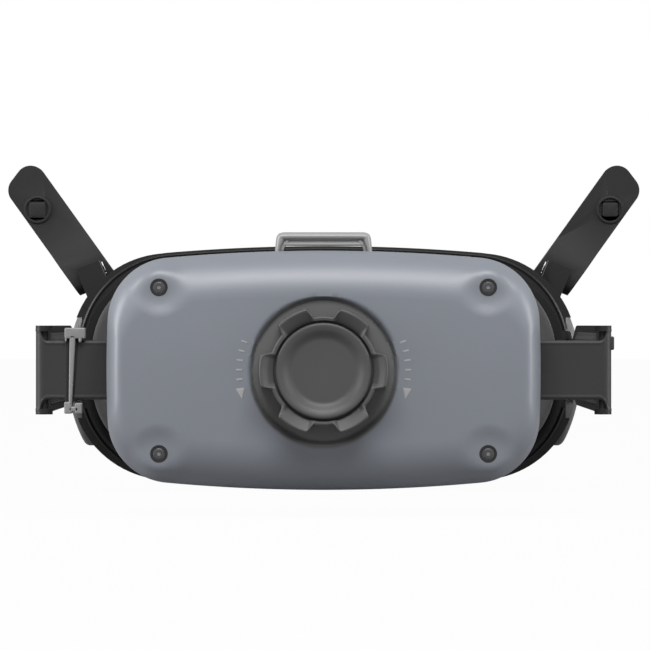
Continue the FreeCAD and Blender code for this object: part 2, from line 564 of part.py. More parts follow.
def focus_knob():
    """Knob under the goggles on a stem with the focus pinion."""
    module = 2 * FOCUS_PITCH_RADIUS / FOCUS_TEETH
    foot = CARRIAGE_Z[0] + FOCUS_FLOOR + GAP
    pinion = gear(module, FOCUS_TEETH, PRESSURE_ANGLE, 0.7 * module, 0.9 * module, BACKLASH,
                  FOCUS_FLOOR - 2 * GAP)
    pinion.rotate(V(0, 0, 0), Z_AXIS, 90)
    pinion.translate(V(EYE_X, FOCUS_AXIS_Y, foot))
    stem = upright(FOCUS_STEM, EYE_X, FOCUS_AXIS_Y, (FOCUS_KNOB_Z[0], foot + FOCUS_FLOOR - 2 * GAP))
    neck = upright(FOCUS_NECK, EYE_X, FOCUS_AXIS_Y, (FOCUS_KNOB_Z[0], CARRIAGE_Z[0] - GAP))
    knob = upright(FOCUS_KNOB_RADIUS, EYE_X, FOCUS_AXIS_Y, FOCUS_KNOB_Z)
    grooves = [upright(0.6, EYE_X + FOCUS_KNOB_RADIUS * math.cos(a),
                       FOCUS_AXIS_Y + FOCUS_KNOB_RADIUS * math.sin(a), (0, FOCUS_KNOB_Z[1] - 1.5))
               for a in (math.radians(k * 30) for k in range(12))]
    return fused([knob.cut(grooves), neck, stem, pinion])


# ---------------------------------------------------------------- goggles: electronics
def main_board():
    """Board across the front body."""
    z = (BODY_Z - BOARD_HALF[1], BODY_Z + BOARD_HALF[1])
    board = box((-BOARD_HALF[0], BOARD_HALF[0]), (BOARD_Y, BOARD_Y + BOARD_THICK), z)
    chips = [box((x, x + 12), (BOARD_Y - 1.2, BOARD_Y), (BODY_Z - 22, BODY_Z - 12))
             for x in (-BOARD_HALF[0] + 4, -8, BOARD_HALF[0] - 16)]
    inner = cushion(FRONT_OUTLINE, (BOARD_Y - 2, BOARD_Y + 5), BODY_Z, WALL)
    return fused([board] + chips).common(inner)


def board_posts():
    """Posts that carry the board from the side walls of the front shell."""
    posts = []
    for side in (-1, 1):
        x = sorted((side * (BOARD_HALF[0] - 3), side * (FRONT_OUTLINE[0] - WALL / 2)))
        for z in (BODY_Z - 14, BODY_Z + 10):
            posts.append(box(x, (BOARD_Y + BOARD_THICK, BOARD_Y + BOARD_THICK + 3), (z, z + 4)))
    return posts


def heat_sink():
    """Finned plate between the board and the fan."""
    y0 = BOARD_Y + BOARD_THICK
    half = FAN_SIZE / 2
    base = box((-half, half), (y0, y0 + SINK_BASE), (BODY_Z - half, BODY_Z + half))
    fins = []
    for k in range(SINK_FINS):
        x = -half + k * (FAN_SIZE - 1) / (SINK_FINS - 1)
        fins.append(box((x, x + 1), (y0, y0 + SINK_BASE + SINK_FIN), (BODY_Z - half, BODY_Z + half)))
    return fused([base] + fins)


FAN_Y = (BOARD_Y + BOARD_THICK + SINK_BASE + SINK_FIN,
         BOARD_Y + BOARD_THICK + SINK_BASE + SINK_FIN + FAN_DEPTH)
FAN_BORE = FAN_SIZE / 2 - FAN_WALL


def fan_frame():
    """Square fan frame with a hub on three spokes."""
    half = FAN_SIZE / 2
    frame = box((-half, half), FAN_Y, (BODY_Z - half, BODY_Z + half))
    frame = frame.cut(rod(FAN_BORE, V(0, FAN_Y[0] - 1, BODY_Z), V(0, FAN_Y[1] + 1, BODY_Z)))
    hub = rod(FAN_HUB, V(0, FAN_Y[0], BODY_Z), V(0, FAN_Y[0] + 1, BODY_Z))
    pin = rod(1, V(0, FAN_Y[0], BODY_Z), V(0, FAN_Y[1] - 1, BODY_Z))
    spokes = []
    for k in range(3):
        spoke = box((-1, 1), (FAN_Y[0], FAN_Y[0] + 1), (BODY_Z, BODY_Z + FAN_BORE + 0.5))
        spoke.rotate(V(0, 0, BODY_Z), Y_AXIS, 120 * k)
        spokes.append(spoke)
    ribs = [box((sx * half - 1.5, sx * half + 1.5), (FAN_Y[1], PANEL_FACE_Y - WALL),
                (BODY_Z + sz * half - 1.5, BODY_Z + sz * half + 1.5)) for sx in (-1, 1)
            for sz in (-1, 1)]
    return fused([frame, hub, pin] + spokes + ribs)


def fan_impeller():
    """Hub with slanted blades."""
    y = (FAN_Y[0] + 1 + GAP, FAN_Y[1] - GAP)
    hub = rod(FAN_HUB, V(0, y[0], BODY_Z), V(0, y[1], BODY_Z))
    blades = []
    for k in range(FAN_BLADES):
        foot = BODY_Z + FAN_HUB - 1
        blade = prism([V(-2.6, y[0] + 0.2, foot), V(-1.6, y[0] + 0.2, foot),
                       V(2.6, y[1] - 0.2, foot), V(1.6, y[1] - 0.2, foot)],
                      V(0, 0, FAN_BORE - FAN_HUB + 1 - 2 * GAP))
        blade.rotate(V(0, 0, BODY_Z), Y_AXIS, 360 / FAN_BLADES * k)
        blades.append(blade)
    bore = rod(1 + FIT, V(0, y[0] - 1, BODY_Z), V(0, y[1] + 1, BODY_Z))
    return fused([hub] + blades).cut(bore)


def key_board():
    """Small board with the switches of the two keys."""
    half_x, half_y = KEY_BOARD_HALF
    middle = sum(KEY_X) / 2
    board = box((middle - half_x, middle + half_x), (KEY_Y - half_y, KEY_Y + half_y), KEY_BOARD_Z)
    switch_top = KEY_STEM_Z - BUTTON_TRAVEL - GAP
    switches = [box((x - 2, x + 2), (KEY_Y - 2, KEY_Y + 2), (KEY_BOARD_Z[1], switch_top)) for x in KEY_X]
    inner = cushion(FRONT_OUTLINE, (KEY_Y - 9, KEY_Y + 9), BODY_Z, WALL)
    return fused([board] + switches).common(inner)


def front_top_z(x):
    """Height of the top of the front shell at this x."""
    return BODY_Z + FRONT_OUTLINE[1] - x * x / (2 * FRONT_OUTLINE[2])


def key_button(x):
    """Round key with a collar that keeps it in the shell."""
    top = front_top_z(x)
    cap = upright(KEY_RADIUS, x, KEY_Y, (KEY_STEM_Z, top + KEY_RISE))
    collar = upright(KEY_RADIUS + 1, x, KEY_Y, (top - 2 * WALL, top - WALL - 1.2))
    return fused([cap, collar])


def port_block(wall):
    """Rounded socket block in the left side of the front shell."""
    return stadium_x(PORT_HALF[0] + wall, PORT_HALF[1] + wall,
                     (-FRONT_OUTLINE[0] - 1, -FRONT_OUTLINE[0] + PORT_DEPTH), PORT_Y, PORT_Z)


def usb_port():
    body = port_block(0.0)
    hole = port_block(-0.4)
    hole.translate(V(-0.8, 0, 0))
    outer = cushion(FRONT_OUTLINE, (0, 30), BODY_Z)
    return body.cut(hole).common(outer)


def proximity_window():
    """Small dark window over the nose."""
    return box((-PROXIMITY_HALF, PROXIMITY_HALF), BULKHEAD_Y,
               (EYE_Z + PROXIMITY_RISE[0], EYE_Z + PROXIMITY_RISE[1]))


# ---------------------------------------------------------------- goggles: temple pivots
def arm_sweep():
    """Space that the neck of an arm needs over the whole tilt."""
    half = NECK_HEIGHT / 2 + 2 * GAP
    reach = 40.0
    up, down = math.radians(TILT_UP + 1), math.radians(-TILT_DOWN - 1)

    def at(tilt, along, across):
        return V(TEMPLE_FLOOR_X, PIVOT_Y - along * math.cos(tilt) + across * math.sin(tilt),
                 BAND_Z + along * math.sin(tilt) + across * math.cos(tilt))

    wedge = prism([at(up, 0, half), at(up, reach, half), at(down, reach, -half), at(down, 0, -half)],
                  V(TEMPLE_CAP_X[0] - TEMPLE_FLOOR_X, 0, 0))
    return wedge


def temple_boss():
    """Right oval cap with a skirt that fits the chassis and the pivot pin of the arm."""
    cap = stadium_x(TEMPLE_OVAL[0], TEMPLE_OVAL[1], TEMPLE_CAP_X, PIVOT_Y, BAND_Z)
    rim = [e for e in cap.Edges if e.BoundBox.XMin > TEMPLE_CAP_X[1] - 0.01]
    cap = cap.makeFillet(0.9, rim)
    skirt_x = (TEMPLE_FLOOR_X - 5, TEMPLE_CAP_X[0])
    skirt = stadium_x(TEMPLE_OVAL[0], TEMPLE_OVAL[1], skirt_x, PIVOT_Y, BAND_Z)
    skirt = skirt.cut(stadium_x(TEMPLE_OVAL[0] - TEMPLE_SKIRT, TEMPLE_OVAL[1] - TEMPLE_SKIRT,
                                (skirt_x[0] - 1, skirt_x[1]), PIVOT_Y, BAND_Z))
    beyond = [box((0, TEMPLE_FLOOR_X), (-OUTSIDE, FLANGE_Y[0]), (-OUTSIDE, OUTSIDE)),
              box((0, TEMPLE_FLOOR_X), (CHASSIS_FRONT_Y, OUTSIDE), (-OUTSIDE, OUTSIDE))]
    skirt = skirt.cut([chassis_block().cut(temple_recess()), arm_sweep()] + beyond)
    pin = rod(PIVOT_RADIUS, at_band(TEMPLE_FLOOR_X - 2 * WALL, PIVOT_Y),
              at_band(TEMPLE_CAP_X[1] - 0.6, PIVOT_Y))
    whole = fused([cap, skirt, pin])
    return max(whole.Solids, key=lambda s: s.Volume)


# ---------------------------------------------------------------- goggles: antennas
HINGE = V(*ANTENNA_HINGE)
HINGE_DIR = V(math.cos(math.radians(HINGE_TILT)), 0, -math.sin(math.radians(HINGE_TILT)))
HINGE_UP = V(math.sin(math.radians(HINGE_TILT)), 0, math.cos(math.radians(HINGE_TILT)))
BLADE_DIR = V(math.sin(math.radians(ANTENNA_TILT)), 0, math.cos(math.radians(ANTENNA_TILT)))
BLADE_SIDE = V(BLADE_DIR.z, 0, -BLADE_DIR.x)


def hinge_block(along, up, y):
    """Block set square to the right antenna's hinge axis."""
    corner = HINGE + HINGE_DIR * along[0] + HINGE_UP * up[0]
    corner.y = y[0]
    edge = [corner, corner + HINGE_DIR * (along[1] - along[0])]
    edge += [edge[1] + HINGE_UP * (up[1] - up[0]), edge[0] + HINGE_UP * (up[1] - up[0])]
    return prism(edge, V(0, y[1] - y[0], 0))


def along_hinge(radius, reach):
    """Round bar on the hinge axis, to the same reach both ways."""
    return rod(radius, HINGE - HINGE_DIR * reach, HINGE + HINGE_DIR * reach)


def blade_point(side, along, y):
    """Point beside the blade's middle line, counted from the hinge."""
    point = HINGE + BLADE_SIDE * side + BLADE_DIR * along
    return V(point.x, y, point.z)


def blade_block(y, thick):
    """Paddle with a slanted tip and rounded corners, from below the hinge to the tip."""
    outline = [blade_point(BLADE_INNER[0], -ROOT_BELOW, y), blade_point(*BLADE_INNER, y),
               blade_point(*BLADE_OUTER, y), blade_point(BLADE_OUTER[0], -ROOT_BELOW, y)]
    block = prism(outline, V(0, thick, 0))
    tips = [e for e in block.Edges if abs(e.tangentAt(e.FirstParameter).y) > 0.9
            and (e.CenterOfMass - HINGE).dot(BLADE_DIR) > 0]
    return block.makeFillet(BLADE_CORNER, tips)


def antenna():
    """Right paddle: thin blade, sloped step, thick root with two ears on the hinge pin."""
    half = ROOT_THICK / 2
    y = (HINGE.y - half, HINGE.y + half)
    body = blade_block(y[0], ROOT_THICK)
    above = hinge_block((-OUTSIDE, OUTSIDE), (0, OUTSIDE), (y[0] - 1, y[1] + 1))
    barrel = along_hinge(half, OUTSIDE)
    body = body.common(fused([above, barrel]))
    step = ROOT_THICK - BLADE_THICK

    def at(up, depth):
        point = HINGE - HINGE_DIR * OUTSIDE + HINGE_UP * up
        return V(point.x, y[0] + depth, point.z)

    relief = prism([at(ROOT_SLOPE[0], -1), at(ROOT_SLOPE[0], 0), at(ROOT_SLOPE[1], step),
                    at(OUTSIDE, step), at(OUTSIDE, -1)], HINGE_DIR * 2 * OUTSIDE)
    slot = hinge_block((-EAR_GAP, EAR_GAP), (-OUTSIDE, EAR_GAP), (y[0] - 1, y[1] + 1))
    body = body.cut([relief, slot, along_hinge(ANTENNA_PIN + FIT, OUTSIDE)])
    face = y[0] + step
    centre = blade_point(*BUTTON_AT, face)
    boss = ring(RING_RADIUS, RING_RADIUS - RING_WALL, V(centre.x, face - RING_RAISE, centre.z),
                V(centre.x, face + 0.5, centre.z))
    plug = box((centre.x - PLUG_HALF, centre.x + PLUG_HALF), (face - RING_RAISE, face + 0.5),
               (centre.z - PLUG_HALF, centre.z + PLUG_HALF))
    return fused([body, boss, plug])


def antenna_bracket():
    """Right bracket: a block on the corner of the chassis with the hinge knuckle."""
    half, radius = EAR_GAP - GAP, ROOT_THICK / 2 - 0.5
    rear = HINGE.y - ROOT_THICK / 2 - 0.5
    knuckle = along_hinge(radius, half)
    tongue = hinge_block((-half, half), (-radius, radius), (rear - 1, HINGE.y))
    top = radius + BRACKET_LIP
    block = hinge_block((-half, half), (-BRACKET_DROP, top), (FLANGE_Y[1] + 10, rear))
    beside = stadium_x(TEMPLE_OVAL[0] + GAP, TEMPLE_OVAL[1] + GAP, (0, OUTSIDE), PIVOT_Y, BAND_Z)
    block = block.cut([chassis_block(), beside])
    whole = fused([knuckle, tongue, block]).cut(along_hinge(ANTENNA_PIN, OUTSIDE))
    return max(whole.Solids, key=lambda s: s.Volume)


def antenna_pins():
    pin = along_hinge(ANTENNA_PIN, ANTENNA_PIN_REACH)
    return Part.makeCompound([pin, mirrored(pin)])


# ---------------------------------------------------------------- battery housing
SCREWS = [(sx * SCREW_X, sz * SCREW_Z) for sx in (-1, 1) for sz in (-1, 1)]
LOOP_FRAME_INNER = LOOP_HALF - LOOP_SIDE


def channel_block():
    """Solid seat under the strap loop, let into the top wall of the case."""
    top = BAND_Z + PACK_OUTLINE[1]
    return box((-LOOP_HALF - 1.5, LOOP_HALF + 1.5), (CHANNEL_Y[0] - 1.2, CHANNEL_Y[1] + 1.2),
               (CHANNEL_FLOOR_Z - 0.8, top - 0.2))


def channel():
    return box((-LOOP_FRAME_INNER, LOOP_FRAME_INNER), CHANNEL_Y, (CHANNEL_FLOOR_Z, OUTSIDE))


def loop_legs(low):
    sides = [sorted((s * LOOP_FRAME_INNER, s * LOOP_HALF)) for s in (-1, 1)]
    return [box(side, LOOP_Y, (low, LOOP_TOP_Z - 1)) for side in sides]


def pack_shell():
    return curled_block(PACK_OUTLINE, PACK_RIM_Y, PACK_ROLL_Y, PACK_FACE_Y, PACK_ROLL, BAND_Z)


def rear_shell():
    """Outer half of the case: curled edges, knob collar, screw pockets and bearing."""
    inner = curled_block(PACK_OUTLINE, PACK_RIM_Y + 1, PACK_ROLL_Y, PACK_FACE_Y + PACK_WALL,
                         PACK_ROLL, BAND_Z, PACK_WALL)
    lumps = [rod(COLLAR_RADIUS + BEARING, at_band(0, PACK_FACE_Y),
                 at_band(0, PACK_FACE_Y + COLLAR_DEPTH + PACK_WALL)),
             rod(SHAFT_RADIUS + BEARING, at_band(0, PACK_FACE_Y), at_band(0, WHEEL_Y[0] - GAP)),
             channel_block()]
    for x, z in SCREWS:
        lumps.append(rod(POCKET_RADIUS + PACK_WALL, at_band(x, PACK_FACE_Y, z),
                         at_band(x, POCKET_FLOOR_Y + PACK_WALL, z)))
        lumps.append(rod(SCREW_HEAD_RADIUS + SCREW_BOSS, at_band(x, PACK_FACE_Y, z),
                         at_band(x, PACK_RIM_Y, z)))
    for s in (-1, 1):
        lumps.append(box((-SPRING_X - SPRING_THICK - 1.4, -SPRING_X - SPRING_THICK),
                         (PACK_FACE_Y, WHEEL_Y[1]),
                         sorted((BAND_Z + s * (SPRING_HALF - 2), BAND_Z + s * SPRING_HALF))))
        lumps.append(box(PACK_POST_X, (PACK_FACE_Y, PACK_BOARD_Y[0]),
                         sorted((BAND_Z + s * 5, BAND_Z + s * (PACK_BOARD_HALF - 0.5)))))
    cuts = [inner.cut(fused(lumps)), channel()]
    cuts.append(rod(COLLAR_RADIUS, at_band(0, -OUTSIDE), at_band(0, PACK_FACE_Y + COLLAR_DEPTH)))
    cuts.append(rod(SHAFT_RADIUS + FIT, at_band(0, -OUTSIDE), at_band(0, 0)))
    for x, z in SCREWS:
        cuts.append(cone(POCKET_RADIUS + POCKET_TAPER, POCKET_RADIUS - POCKET_TAPER,
                         at_band(x, PACK_FACE_Y, z), at_band(x, POCKET_FLOOR_Y, z)))
        cuts.append(rod(SCREW_HEAD_RADIUS + FIT, at_band(x, -OUTSIDE, z), at_band(x, SCREW_SEAT_Y, z)))
        cuts.append(rod(SCREW_RADIUS, at_band(x, -OUTSIDE, z), at_band(x, 0, z)))
    return pack_shell().cut(cuts + scale_marks())


def scale_marks():
    """Five ticks and an arrowhead cut in the face on each side of the knob."""
    marks = []
    y = (PACK_FACE_Y - 1, PACK_FACE_Y + MARK_DEPTH)
    for side in (-1, 1):
        for k in range(MARK_TICKS):
            tick = box((MARK_RADIUS - 1.0, MARK_RADIUS + 1.0), y, (BAND_Z - 0.3, BAND_Z + 0.3))
            tick.rotate(V(0, 0, BAND_Z), Y_AXIS, 10 - 8 * (k - 1))
            marks.append(tick if side > 0 else mirrored(tick))
        tip = MARK_RADIUS - 0.6
        arrow = prism([at_band(tip + 2.2, y[0], -7.6), at_band(tip - 1.6, y[0], -7.2),
                       at_band(tip - 0.4, y[0], -11.2)], V(0, y[1] - y[0], 0))
        marks.append(arrow if side > 0 else mirrored(arrow))
    return marks


def head_side(radius):
    """Cylinder about the back of the head, coaxial with the curve of the case."""
    return upright(radius, 0, HEAD_Y + HEAD_RADIUS, (-OUTSIDE, OUTSIDE))


def power_lip_z():
    """Height of the ledge that keeps the power key in."""
    return BAND_Z + PACK_OUTLINE[1] - PACK_WALL - 0.8


def inner_cover():
    """Head side of the case: concave front, rack rails, shaft bearing and screw bosses."""
    front = HEAD_Y + COVER_DEPTH
    outer = curled_block(PACK_OUTLINE, PACK_RIM_Y, COVER_ROLL_Y, front, COVER_ROLL, BAND_Z)
    outer = outer.cut(head_side(HEAD_RADIUS))
    inner = curled_block(PACK_OUTLINE, PACK_RIM_Y - 1, COVER_ROLL_Y, front, COVER_ROLL, BAND_Z,
                         PACK_WALL)
    inner = inner.cut(head_side(HEAD_RADIUS + PACK_WALL))
    lumps = [channel_block()]
    rail = RACK_HALF_HEIGHT + GAP
    reach = PACK_OUTLINE[0] - PACK_WALL
    for s in (-1, 1):
        lumps.append(box((-reach, reach), (CLAMP_Y[0] - RAIL_THICK, front),
                         sorted((BAND_Z + s * rail, BAND_Z + s * (rail + RAIL_THICK)))))
    lumps.append(rod(SHAFT_RADIUS + BEARING, at_band(0, PINION_Y[1] + GAP), at_band(0, front)))
    for x, z in SCREWS:
        lumps.append(rod(SCREW_HEAD_RADIUS + SCREW_BOSS, at_band(x, PACK_RIM_Y, z),
                         at_band(x, front, z)))
    lumps.append(upright(POWER_RADIUS + WALL, POWER_X, POWER_Y, (POWER_STEM_Z + 1.6, OUTSIDE)))
    cuts = [inner.cut(fused(lumps)), channel()] + loop_legs(CHANNEL_FLOOR_Z - 0.2)
    cuts.append(rod(SHAFT_RADIUS + FIT, at_band(0, -OUTSIDE), at_band(0, SHAFT_END_Y + GAP)))
    cuts += [rod(SCREW_RADIUS, at_band(x, -OUTSIDE, z), at_band(x, SCREW_TIP_Y, z)) for x, z in SCREWS]
    half = STRAP_HEIGHT / 2 + GAP
    for s in (-1, 1):
        cuts.append(box(sorted((s * (PACK_OUTLINE[0] - 2 * PACK_WALL), s * OUTSIDE)),
                        (STRAP_Y[0] - GAP, STRAP_Y[1] + GAP), (BAND_Z - half, BAND_Z + half)))
    cuts.append(upright(POWER_RADIUS + GAP, POWER_X, POWER_Y, (BAND_Z, OUTSIDE)))
    cuts.append(upright(POWER_RADIUS + WALL / 2, POWER_X, POWER_Y, (BAND_Z, power_lip_z())))
    return outer.cut(cuts)


def power_button():
    """Key on top of the case."""
    top = BAND_Z + PACK_OUTLINE[1] - POWER_X ** 2 / (2 * PACK_OUTLINE[2])
    collar = power_lip_z() - GAP
    cap = upright(POWER_RADIUS, POWER_X, POWER_Y, (POWER_STEM_Z, top + KEY_RISE))
    collar = upright(POWER_RADIUS + 0.8, POWER_X, POWER_Y, (collar - 0.8, collar))
    return fused([cap, collar])


def head_pad():
    """Padded liner on the head side of the case."""
    block = cushion(PACK_OUTLINE, (HEAD_Y, HEAD_Y + 2 * COVER_DEPTH), BAND_Z, PAD_INSET)
    band = head_side(HEAD_RADIUS - PAD_GAP).cut(head_side(HEAD_RADIUS - PAD_GAP - PAD_DEPTH))
    return block.common(band)


def housing_screws():
    """Four socket screws through the outer half into the bosses of the inner half."""
    screws = []
    for x, z in SCREWS:
        top = SCREW_SEAT_Y - SCREW_HEAD
        head = rod(SCREW_HEAD_RADIUS, at_band(x, top, z), at_band(x, SCREW_SEAT_Y, z))
        shank = rod(SCREW_RADIUS, at_band(x, SCREW_SEAT_Y, z), at_band(x, SCREW_TIP_Y, z))
        hexagon = [at_band(x + 1.25 * math.cos(math.radians(60 * k)), top,
                           z + 1.25 * math.sin(math.radians(60 * k))) for k in range(6)]
        screws.append(fused([head, shank]).cut(prism(hexagon, V(0, SCREW_HEAD * 0.6, 0))))
    return Part.makeCompound(screws)


def top_loop():
    """Loop for the strap that runs over the head."""
    y = LOOP_Y
    outer = box((-LOOP_HALF, LOOP_HALF), y, (CHANNEL_FLOOR_Z - 0.2, LOOP_TOP_Z))
    upper = [e for e in outer.Edges if e.BoundBox.ZMin > LOOP_TOP_Z - 0.1
             and abs(e.tangentAt(e.FirstParameter).y) > 0.9]
    outer = outer.makeFillet(3.2, upper)
    inner = box((-LOOP_FRAME_INNER, LOOP_FRAME_INNER), (y[0] - 1, y[1] + 1),
                (CHANNEL_FLOOR_Z - 1, LOOP_TOP_Z - LOOP_BAR))
    upper = [e for e in inner.Edges if e.BoundBox.ZMin > LOOP_TOP_Z - LOOP_BAR - 0.1
             and abs(e.tangentAt(e.FirstParameter).y) > 0.9]
    inner = inner.makeFillet(1.6, upper)
    return outer.cut(inner)


def battery_cells():
    cells = []
    for s in (-1, 1):
        z = s * CELL_OFFSET
        can = rod(CELL_RADIUS, at_band(-CELL_LENGTH / 2, CELL_Y, z), at_band(CELL_LENGTH / 2, CELL_Y, z))
        end = s * CELL_LENGTH / 2
        tip = rod(CELL_TIP, at_band(end, CELL_Y, z), at_band(end + s, CELL_Y, z))
        cells.append(can.fuse(tip))
    return Part.makeCompound(cells)


def battery_board():
    """Charge board on two posts beside the shaft."""
    board = box(PACK_BOARD_X, PACK_BOARD_Y, (BAND_Z - PACK_BOARD_HALF, BAND_Z + PACK_BOARD_HALF))
    chips = [box((x, x + 5), (PACK_BOARD_Y[0] - 1, PACK_BOARD_Y[0]), (BAND_Z - 3, BAND_Z + 3))
             for x in (PACK_BOARD_X[0] + 1, PACK_BOARD_X[0] + 17, PACK_BOARD_X[0] + 27)]
    return fused([board] + chips)


# ---------------------------------------------------------------- tightening knob
def knob_outline(y, depth):
    """Lobed prism: wide lobes and hollow notches joined by slanted flanks."""
    edges = []
    step = math.radians(360 / KNOB_LOBES)
    lobe = math.radians(LOBE_HALF_ANGLE)
    notch = step / 2 - math.radians(LOBE_HALF_ANGLE + FLANK_ANGLE)
    out, low = LOBE_RADIUS, NOTCH_RADIUS

    def at(radius, angle):
        return at_band(radius * math.cos(angle), y, radius * math.sin(angle))

    for k in range(KNOB_LOBES):
        a = k * step
        b = a + step / 2
        edges.append(arc(at(out, a - lobe), at(out, a), at(out, a + lobe)))
        edges.append(line(at(out, a + lobe), at(low, b - notch)))
        edges.append(arc(at(low, b - notch), at(low, b), at(low, b + notch)))
        edges.append(line(at(low, b + notch), at(out, a + step - lobe)))
    return Part.Face(Part.Wire(edges)).extrude(V(0, depth, 0))


def knob_grip():
    """Lobed ring of the knob with a sloped front face and a seat for the cap."""
    y0, y1 = KNOB_Y
    body = knob_outline(y0, y1 - y0)
    flat, edge = CAP_RADIUS + CAP_GAP + KNOB_RIM, LOBE_RADIUS + 1
    slope = turned([at_band(flat, y0 - 1), at_band(flat, y0), at_band(edge, y0 + KNOB_SLOPE),
                    at_band(edge, y0 - 1)], at_band(0, 0), Y_AXIS)
    seat = rod(CAP_RADIUS + CAP_GAP, at_band(0, y0 - 1), at_band(0, y0 + KNOB_SEAT))
    bore = rod(SHAFT_RADIUS, at_band(0, y0), at_band(0, y1 + 1))
    return body.cut([slope, seat, bore])


def knob_cap():
    """Dished cap of the knob."""
    y, back = KNOB_Y[0] - CAP_PROUD, KNOB_Y[0] + KNOB_SEAT
    profile = [at_band(0, back), at_band(CAP_RADIUS, back), at_band(CAP_RADIUS, y + 0.5),
               at_band(CAP_RADIUS - 0.5, y), at_band(DISH_RADII[0], y),
               at_band(DISH_RADII[1], y + DISH_DEPTH), at_band(0, y + DISH_DEPTH)]
    return turned(profile, at_band(0, 0), Y_AXIS)


def knob_shaft():
    """Shaft with the pinion and the notched detent wheel."""
    shaft = rod(SHAFT_RADIUS, at_band(0, KNOB_Y[0] + KNOB_SEAT), at_band(0, SHAFT_END_Y))
    pinion = gear(TOOTH_MODULE, PINION_TEETH, PRESSURE_ANGLE, ADDENDUM, DEDENDUM, BACKLASH,
                  PINION_Y[1] - PINION_Y[0])
    pinion.rotate(V(0, 0, 0), X_AXIS, 90)
    pinion.translate(at_band(0, PINION_Y[1]))
    wheel = rod(WHEEL_RADIUS, at_band(0, WHEEL_Y[0]), at_band(0, WHEEL_Y[1]))
    notches = []
    for k in range(WHEEL_NOTCHES):
        a = 2 * math.pi * k / WHEEL_NOTCHES
        x, z = (WHEEL_RADIUS + 0.5) * math.cos(a), (WHEEL_RADIUS + 0.5) * math.sin(a)
        notches.append(rod(1.0, at_band(x, WHEEL_Y[0] - 1, z), at_band(x, WHEEL_Y[1] + 1, z)))
    return fused([shaft, pinion, wheel.cut(notches)])


def detent_spring():
    """Leaf spring whose nose clicks over the notched wheel."""
    leaf = box((-SPRING_X - SPRING_THICK, -SPRING_X), (WHEEL_Y[0] + 0.2, WHEEL_Y[1] - 0.1),
               (BAND_Z - SPRING_HALF, BAND_Z + SPRING_HALF))
    nose = rod(1.5, at_band(-SPRING_X, WHEEL_Y[0] + 0.2), at_band(-SPRING_X, WHEEL_Y[1] - 0.1))
    return fused([leaf, nose])


# ---------------------------------------------------------------- racks and straps
def rack(y_face):
    """Left rack: slotted tongue, teeth along the top of the slot, and the strap clamp."""
    y = (y_face, y_face + RACK_THICK)
    pitch_radius = TOOTH_MODULE * PINION_TEETH / 2
    tongue = box((-CLAMP_X[1], RACK_TIP), y, (BAND_Z - RACK_HALF_HEIGHT, BAND_Z + RACK_HALF_HEIGHT))
    low = pitch_radius + ADDENDUM + 0.7
    slot = box(RACK_SLOT, (y[0] - 1, y[1] + 1), (BAND_Z - low, BAND_Z + pitch_radius + DEDENDUM))
    teeth = rack_teeth(TOOTH_MODULE, PRESSURE_ANGLE, ADDENDUM, DEDENDUM, BACKLASH, RACK_SLOT,
                       BAND_Z + pitch_radius, BAND_Z + pitch_radius + DEDENDUM + 0.3, y)
    clamp = box((-CLAMP_X[1], -CLAMP_X[0]), CLAMP_Y,
                (BAND_Z - RACK_HALF_HEIGHT, BAND_Z + RACK_HALF_HEIGHT))
    pocket = box((-CLAMP_X[1] - 1, -CLAMP_X[0] - CLAMP_WALL), STRAP_Y,
                 (BAND_Z - STRAP_HEIGHT / 2, BAND_Z + STRAP_HEIGHT / 2))
    return fused([tongue.cut(slot)] + teeth + [clamp]).cut(pocket)


def turned_half_round(shape):
    """The same piece turned half round about the knob axis."""
    turned_shape = shape.copy()
    turned_shape.rotate(V(0, 0, BAND_Z), Y_AXIS, 180)
    return turned_shape


def strap():
    """Right strap from the rack clamp to the knuckle on the corner pin."""
    half, tall = STRAP_HEIGHT / 2, ARM_HEIGHT / 2 - ARM_LUG - GAP
    start, end = CLAMP_X[0] + CLAMP_WALL, CORNER_X - CORNER_RADIUS * 0.4
    radius = tall - half
    middle = radius * (1 - math.cos(math.pi / 4))

    def at(x, z):
        return at_band(x, STRAP_Y[0], z)

    edges = [line(at(start, -half), at(start, half)), line(at(start, half), at(end - radius, half)),
             arc(at(end - radius, half), at(end - middle, half + middle), at(end, tall)),
             line(at(end, tall), at(end, -tall)),
             arc(at(end, -tall), at(end - middle, -half - middle), at(end - radius, -half)),
             line(at(end - radius, -half), at(start, -half))]
    band = Part.Face(Part.Wire(edges)).extrude(V(0, STRAP_Y[1] - STRAP_Y[0], 0))
    knuckle = rod(CORNER_RADIUS, V(CORNER_X, CORNER_Y, BAND_Z - tall), V(CORNER_X, CORNER_Y, BAND_Z + tall))
    bore = rod(CORNER_PIN + FIT, V(CORNER_X, CORNER_Y, -OUTSIDE), V(CORNER_X, CORNER_Y, OUTSIDE))
    return fused([band, knuckle]).cut(bore)


